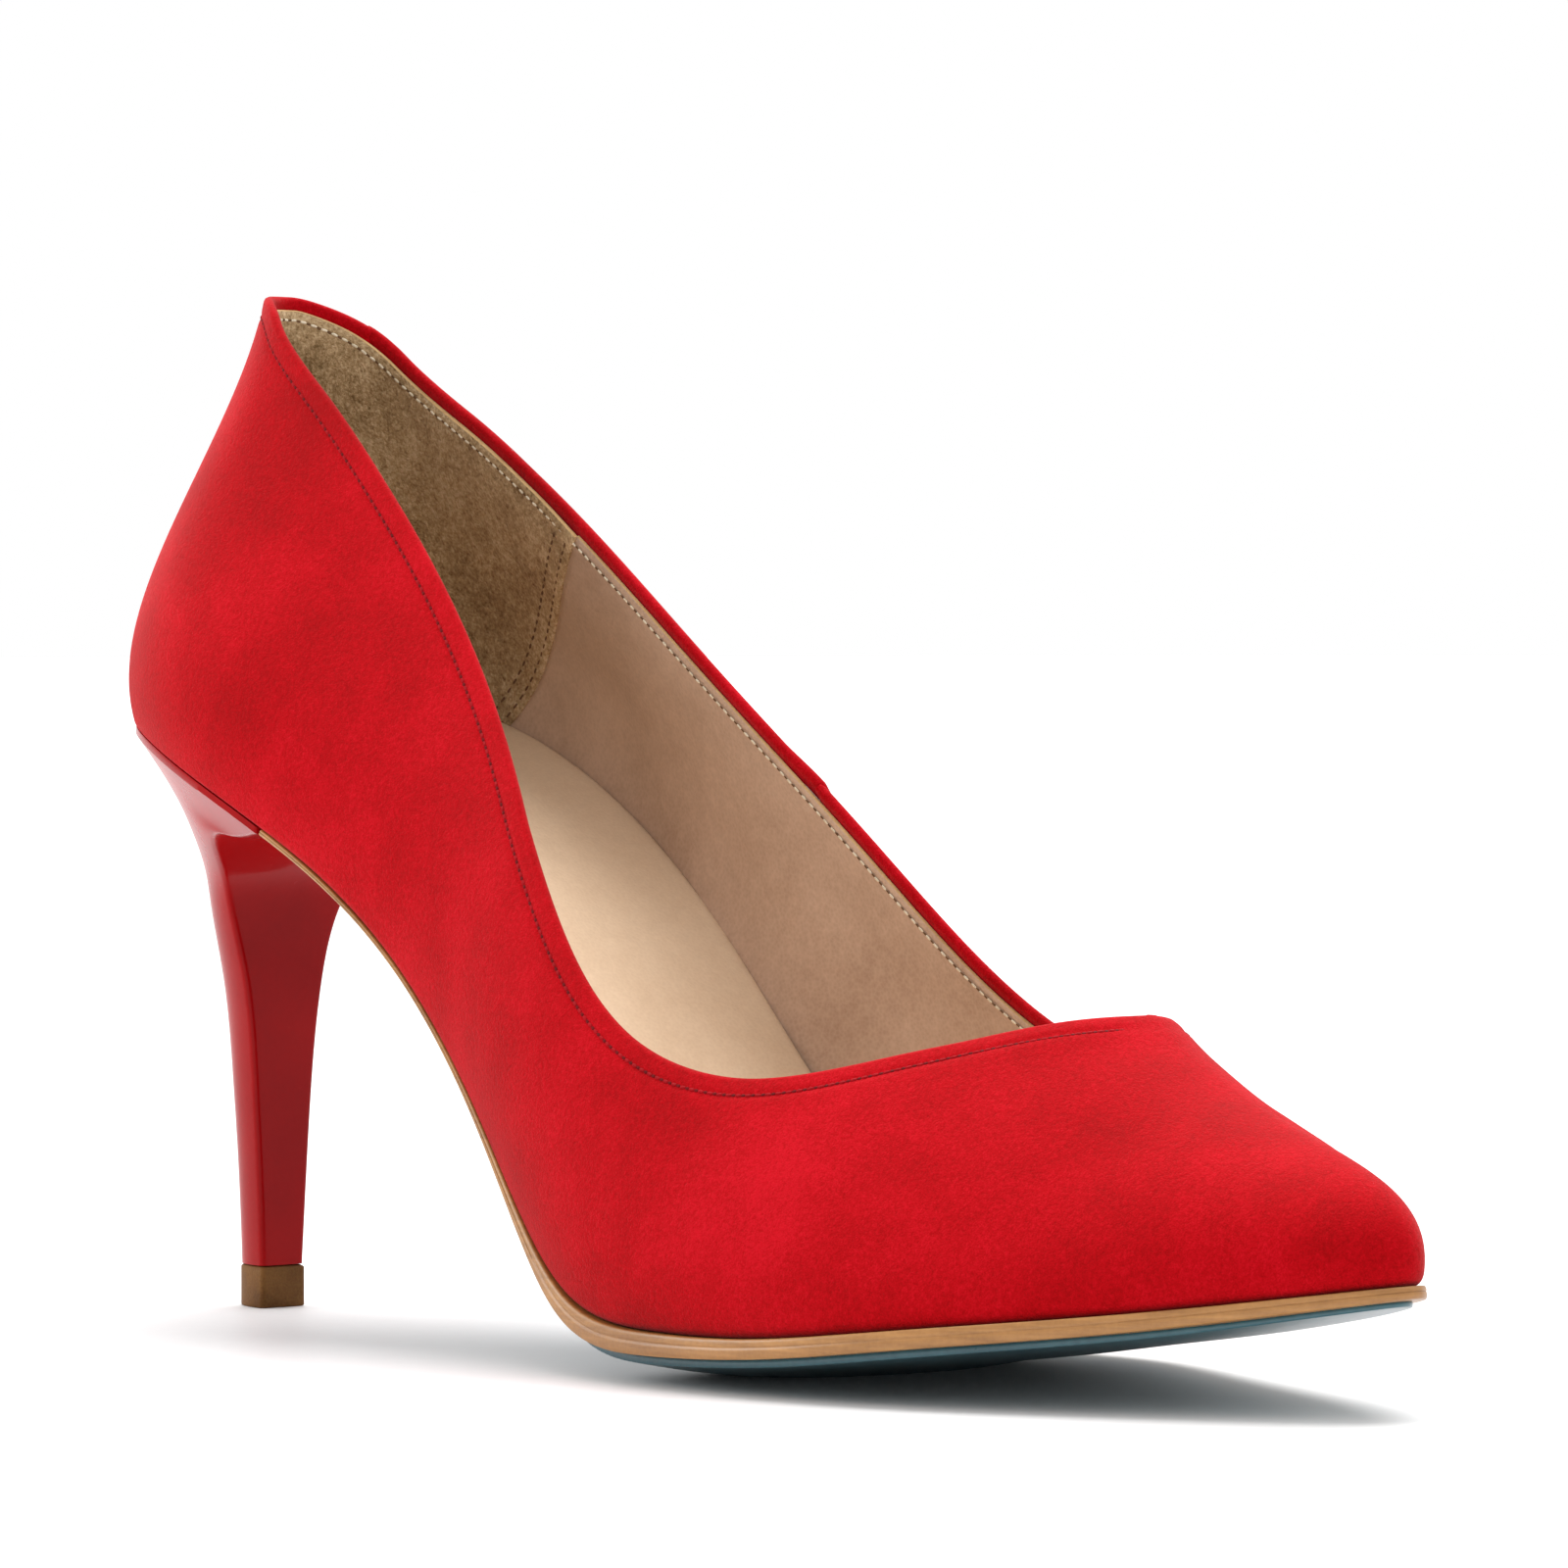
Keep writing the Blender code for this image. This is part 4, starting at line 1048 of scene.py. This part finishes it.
# ---- Sole ----------------------------------------------------------------------------------------
SOLE_RINGS = np.concatenate([[0.0, 0.01, 0.03, 0.06], np.linspace(0.1, 1.0, 24)])
EDGE_PROFILE = (
    (0.0, 0.0), (0.03, 0.14), (0.08, 0.22), (0.16, 0.27), (0.3, 0.3), (0.36, 0.28), (0.40, 0.18),
    (0.44, 0.18), (0.48, 0.28), (0.6, 0.3), (0.74, 0.27), (0.86, 0.2), (0.94, 0.1), (1.0, -0.06),
)
TREAD_PROFILE = ((0.0, 0.0), (0.25, 0.16), (0.5, 0.22), (0.8, 0.14), (1.0, 0.0))
BODY_TOP = 0.05
TREAD_SINK = 0.2


def skin_normals(grid):
    """Downward unit normals of a bed grid."""
    sheet = Sheet(grid)
    down = sheet.normals * -np.sign(sheet.normals[:, 2:])
    return sheet.on_grid(down)


def bulge(share):
    return 1 - (1 - share) ** 2


def sole_drops(grid, share):
    """(depth of the body's underside, of the tread's) below the bottom skin."""
    s = grid[..., 0]
    body = 0.3 + natural(SOLE_EDGE)(s) + natural(SOLE_BELLY)(s) * bulge(share)
    edge = natural(TREAD_EDGE)(s)
    tread = body + 0.12 + edge + 0.18 + (natural(TREAD_MIDDLE)(s) - edge) * bulge(share)
    return body, tread


def layer(name, start, drops, profile, look, floor=None):
    """A closed layer of the sole: upper face, profiled edge and underside."""
    keep = np.nonzero(STATION >= SOLE_START - 1e-6)[0]
    runs = start[:, None] + (REACH - start)[:, None] * SOLE_RINGS
    grid = bottom_paths(runs)
    down = skin_normals(grid)
    share = np.clip(runs / REACH[:, None], 0, 1)
    top, bottom = (grid + down * drop[..., None] for drop in drops(grid, share))
    if floor is not None:
        bottom[..., 2] = np.maximum(bottom[..., 2], floor)
    outward = np.concatenate([-WAY, np.zeros((len(WAY), 1))], axis=1)
    edge = []
    for t, out in profile[1:-1]:
        edge.append(top[:, 0] * (1 - t) + bottom[:, 0] * t + outward * out)
    full = np.concatenate([top[:, ::-1], np.stack(edge, axis=1), bottom], axis=1)[keep]
    sheet = Sheet(full, closed=False)
    faces = sheet.faces()
    for cap in (sheet.index[0].tolist(), sheet.index[-1][::-1].tolist()):
        ring = [a for a, b in zip(cap, cap[1:] + cap[:1]) if a != b]
        faces.append(ring[::-1])
    return new_mesh(name, sheet.points, faces, [look], smooth_angle=50.0)


def build_sole():
    overhang = natural(SOLE_OVERHANG)(STATION)

    def body_drops(grid, share):
        body, _ = sole_drops(grid, share)
        return np.full(grid.shape[:-1], BODY_TOP), body

    def tread_drops(grid, share):
        body, tread = sole_drops(grid, share)
        return body - TREAD_SINK, tread

    body = layer("sole_body_leather", -overhang, body_drops, EDGE_PROFILE, SOLE_TAN)
    inset = np.minimum(TREAD_INSET - overhang, 0.8 * REACH)
    tread = layer("outsole_tread_sheet", inset, tread_drops, TREAD_PROFILE, SOLE_TEAL, 0.0)
    return body, tread


# ---- Heel ----------------------------------------------------------------------------------------
HEEL_AROUND = 140
SEAT_RINGS = 22
SEAT_POINTS = 900
SEAT_EASE = 1.6
FLARE_LEVELS = 34
STEM_LEVELS = 96
HEEL_CORNER = 0.9
RIM_CORNER = 0.4
RIM_LEVELS = 3
HEEL_LIP = 0.95
RIM_LIP = 0.08
TIP_CORNER = 0.7
TIP_AROUND = 90
TIP_ACROSS = 43
TIP_LEVELS = (
    (TIP_TOP + 0.2, -0.25), (TIP_TOP, TIP_PROUD - 0.12), (TIP_TOP - 0.12, TIP_PROUD),
    (3.6, TIP_PROUD), (1.8, TIP_PROUD), (0.22, TIP_PROUD), (0.06, TIP_PROUD - 0.08),
    (0.0, TIP_PROUD - 0.25),
)


def seat_rim(drop, shares):
    """The seat's rim at shares of its length, from its lateral to its medial front end."""
    s = SEAT_FRONT * (np.linspace(1, 0, SEAT_POINTS) ** SEAT_EASE)
    lateral = under(-1, s, 0 * s)
    medial = under(1, s[::-1][1:], 0 * s[1:])
    rim = np.vstack([lateral, medial])
    rim[:, 2] -= drop
    along = chord_lengths(rim)
    return points_along(shares * along[-1], along, rim)


def heel_cut(height, back, front, width, power, round_share, flat_share):
    """One horizontal cut: rounded behind, flat in front, as a loop like the seat's rim."""
    angle = np.pi * round_share
    bow = np.abs(np.sin(angle)) ** power
    side = np.cos(angle)
    side = np.sign(side) * np.abs(side) ** power
    round_part = np.c_[front - (front - back) * bow, -width / 2 * side]
    flat_part = np.c_[np.full(len(flat_share), front), width * (0.5 - flat_share)]
    loop = np.vstack([round_part, flat_part])
    return np.c_[loop, np.full(len(loop), height)]


def eased(count):
    """Shares from 0 to 1, closer together at both ends."""
    return 0.5 - 0.5 * np.cos(np.pi * np.linspace(0, 1, count))


def fillet(loop, corner, radius):
    """Rounds one corner of a closed loop of points within a radius along it."""
    turned = np.roll(loop, len(loop) // 2 - corner, axis=0)
    along = chord_lengths(turned)
    along = along - along[len(loop) // 2]
    low = points_along(-radius, along, turned)
    high = points_along(radius, along, turned)
    t = np.clip((along + radius) / (2 * radius), 0, 1)[:, None]
    point = turned[len(loop) // 2]
    bent = (1 - t) ** 2 * low + 2 * t * (1 - t) * point + t**2 * high
    inside = (np.abs(along) < radius)[:, None]
    return np.roll(np.where(inside, bent, turned), corner - len(loop) // 2, axis=0)


def heel_levels():
    """Heights of the heel's loops, from the seat down to the tip."""
    upper = HEEL_CUTS[-1][0] + SEAT_STEP * (1 - np.linspace(0, 1, FLARE_LEVELS))
    lower = np.linspace(HEEL_CUTS[-1][0], HEEL_CUTS[0][0], STEM_LEVELS)[1:]
    return np.concatenate([upper, lower])


def heel_loops(lip):
    round_share = eased(HEEL_AROUND)
    flat_share = eased(2 * SEAT_RINGS - 1)[1:-1]
    rim_round = seat_rim(lip, round_share)
    ends = rim_round[0], rim_round[-1]
    flat = ends[1][None] * (1 - flat_share[:, None]) + ends[0][None] * flat_share[:, None]
    sag = under(1, np.array(SEAT_FRONT), np.array(0.0))[2] - lip
    middle = 1 - (2 * flat_share - 1) ** 2
    flat[:, 2] = sag - float(crown(SEAT_FRONT)) * middle
    rim = np.vstack([rim_round, flat])
    cuts = [heel_cut(*row, round_share, flat_share) for row in HEEL_CUTS]
    flare = cuts[-1] + (rim - cuts[-1]) * (FLARE_SHARE, FLARE_SHARE, 0.5)
    known = np.array([*cuts, flare, rim])
    last = HEEL_CUTS[-1][0]
    place = [row[0] for row in HEEL_CUTS] + [last + SEAT_STEP / 2, last + SEAT_STEP]
    wanted = heel_levels()
    loops = np.empty((len(wanted), *rim.shape))
    for k in range(len(rim)):
        for axis in range(3):
            loops[:, k, axis] = natural(np.c_[place, known[:, k, axis]])(wanted)
    for i in range(len(loops)):
        radius = HEEL_CORNER if i >= RIM_LEVELS else RIM_CORNER
        loops[i] = fillet(loops[i], HEEL_AROUND - 1, radius)
        loops[i] = fillet(loops[i], 0, radius)
    return loops


def loft(name, loops, look, smooth_angle=50.0):
    """Closed solid through loops of equal length, with flat ends."""
    count = len(loops[0])
    points = np.vstack(loops)
    faces = []
    for r in range(len(loops) - 1):
        for k in range(count):
            a = r * count + k
            b = r * count + (k + 1) % count
            faces.append([a, b, b + count, a + count])
    faces.append(list(reversed(range(count))))
    last = (len(loops) - 1) * count
    faces.append([last + k for k in range(count)])
    return new_mesh(name, points, faces, [look], smooth_angle=smooth_angle)


def build_heel():
    loops = list(heel_loops(HEEL_LIP))
    rim = heel_loops(RIM_LIP)[0]
    inner = rim.copy()
    centre = rim.mean(axis=0)
    inner[:, :2] = centre[:2] + (rim[:, :2] - centre[:2]) * 0.9
    inner[:, 2] = rim[:, 2] + 0.2
    rim_round = rim + (centre - rim) * (0.003, 0.003, 0.0)
    return loft("heel_block_lacquer", [inner, rim_round, *loops], HEEL_LACQUER)


def build_tip():
    _, back, front, width, power = HEEL_CUTS[0]
    round_share = eased(TIP_AROUND)
    flat_share = eased(TIP_ACROSS)[1:-1]
    loops = []
    for z, grow in TIP_LEVELS:
        cut = (z, back - grow, front + grow, width + 2 * grow, power)
        loop = fillet(heel_cut(*cut, round_share, flat_share), TIP_AROUND - 1, TIP_CORNER)
        loops.append(fillet(loop, 0, TIP_CORNER))
    return loft("top_piece_rubber", loops, TIP_RUBBER)


# ---- Frame, floor, light and camera --------------------------------------------------------------
HIDDEN_LOOKS = {
    "heel_counter": HIDDEN_BOARD, "toe_puff": HIDDEN_BOARD, "insole_board": HIDDEN_BOARD,
    "outer_quarter_backer": HIDDEN_CLOTH, "inner_quarter_backer": HIDDEN_CLOTH,
    "vamp_backer": HIDDEN_CLOTH, "bottom_filler": HIDDEN_BOARD, "steel_shank": STEEL,
    "heel_tube": STEEL, "heel_screw": STEEL, "heel_nail_1": STEEL, "heel_nail_2": STEEL,
    "heel_nail_3": STEEL, "heel_nail_4": STEEL, "top_piece_pin": STEEL,
}


def dress_hidden_nodes():
    for name, look in HIDDEN_LOOKS.items():
        mesh = frame["nodes"][name].data
        mesh.materials.clear()
        mesh.materials.append(look)


def attach(obj, slot, *nodes):
    """Rides the piece on the shoe, and hides the CAD nodes it stands for. The slot is not used."""
    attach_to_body(obj, "root")
    if nodes:
        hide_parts(*nodes)


def build_floor():
    mesh = bpy.data.meshes.new("floor")
    corners = [(x * FLOOR_HALF, y * FLOOR_HALF, 0) for x, y in ((-1, -1), (1, -1), (1, 1), (-1, 1))]
    mesh.from_pydata(corners, [], [[0, 1, 2, 3]])
    mesh.materials.append(floor_look())
    add_object("floor", mesh)


def build_world():
    world_look = bpy.data.worlds.new("studio")
    world_look.use_nodes = True
    background = world_look.node_tree.nodes["Background"]
    background.inputs["Color"].default_value = (1.0, 1.0, 1.0, 1.0)
    background.inputs["Strength"].default_value = 1.0
    bpy.context.scene.world = world_look


def add_lamp(name, kind, way, **settings):
    """A lamp that shines along a direction."""
    data = bpy.data.lights.new(name, kind)
    for key, value in settings.items():
        setattr(data, key, value)
    lamp = add_object(name, data)
    lamp.rotation_mode = "QUATERNION"
    lamp.rotation_quaternion = way.to_track_quat("-Z", "Y")
    return lamp


def build_lights():
    """Broad light from above, the same over the whole floor, and a small one into the shoe."""
    add_lamp("overhead", "SUN", -Vector(OVERHEAD_FROM), energy=3.7, angle=math.radians(45.0))
    way = Vector(GLOW_AIM) - Vector(GLOW_PLACE)
    glow = add_lamp("inside_glow", "AREA", way, size=0.6, energy=6.0)
    glow.location = GLOW_PLACE


def build_camera():
    azimuth = math.radians(CAMERA_AZIMUTH)
    elevation = math.radians(CAMERA_ELEVATION)
    back = Vector((
        math.sin(azimuth) * math.cos(elevation),
        -math.cos(azimuth) * math.cos(elevation),
        math.sin(elevation),
    ))
    target = Vector(world(np.array(CAMERA_TARGET)))
    data = bpy.data.cameras.new("camera")
    data.sensor_width = 36.0
    data.lens = CAMERA_LENS
    data.clip_start = 0.05
    data.clip_end = 200.0
    camera = add_object("camera", data)
    camera.location = target + back * CAMERA_DISTANCE
    camera.rotation_mode = "QUATERNION"
    camera.rotation_quaternion = (-back).to_track_quat("-Z", "Y")
    bpy.context.scene.camera = camera


def main():
    bpy.context.scene.view_settings.view_transform = "Standard"
    sheet, vamp, quarter = build_upper()
    attach(vamp, "red_suede", "vamp_and_outer_quarter")
    attach(quarter, "red_suede", "inner_quarter")
    for piece in build_topline_stitches(sheet):
        attach(piece, "red_suede")
    lining_sheet, lining, grip = build_linings()
    attach(lining, "lining_leather", "vamp_lining")
    attach(grip, "grip_suede", "heel_grip_lining")
    for piece in build_lining_stitches(lining_sheet):
        attach(piece, "lining_leather")
    attach(build_sock(), "sock_leather", "sock_lining")
    body, tread = build_sole()
    attach(body, "sole_tan", "sole_body")
    attach(tread, "sole_teal", "outsole_tread")
    attach(build_heel(), "heel_lacquer", "heel")
    attach(build_tip(), "tip_rubber", "top_piece")
    dress_hidden_nodes()
    build_floor()
    build_world()
    build_lights()
    build_camera()


main()
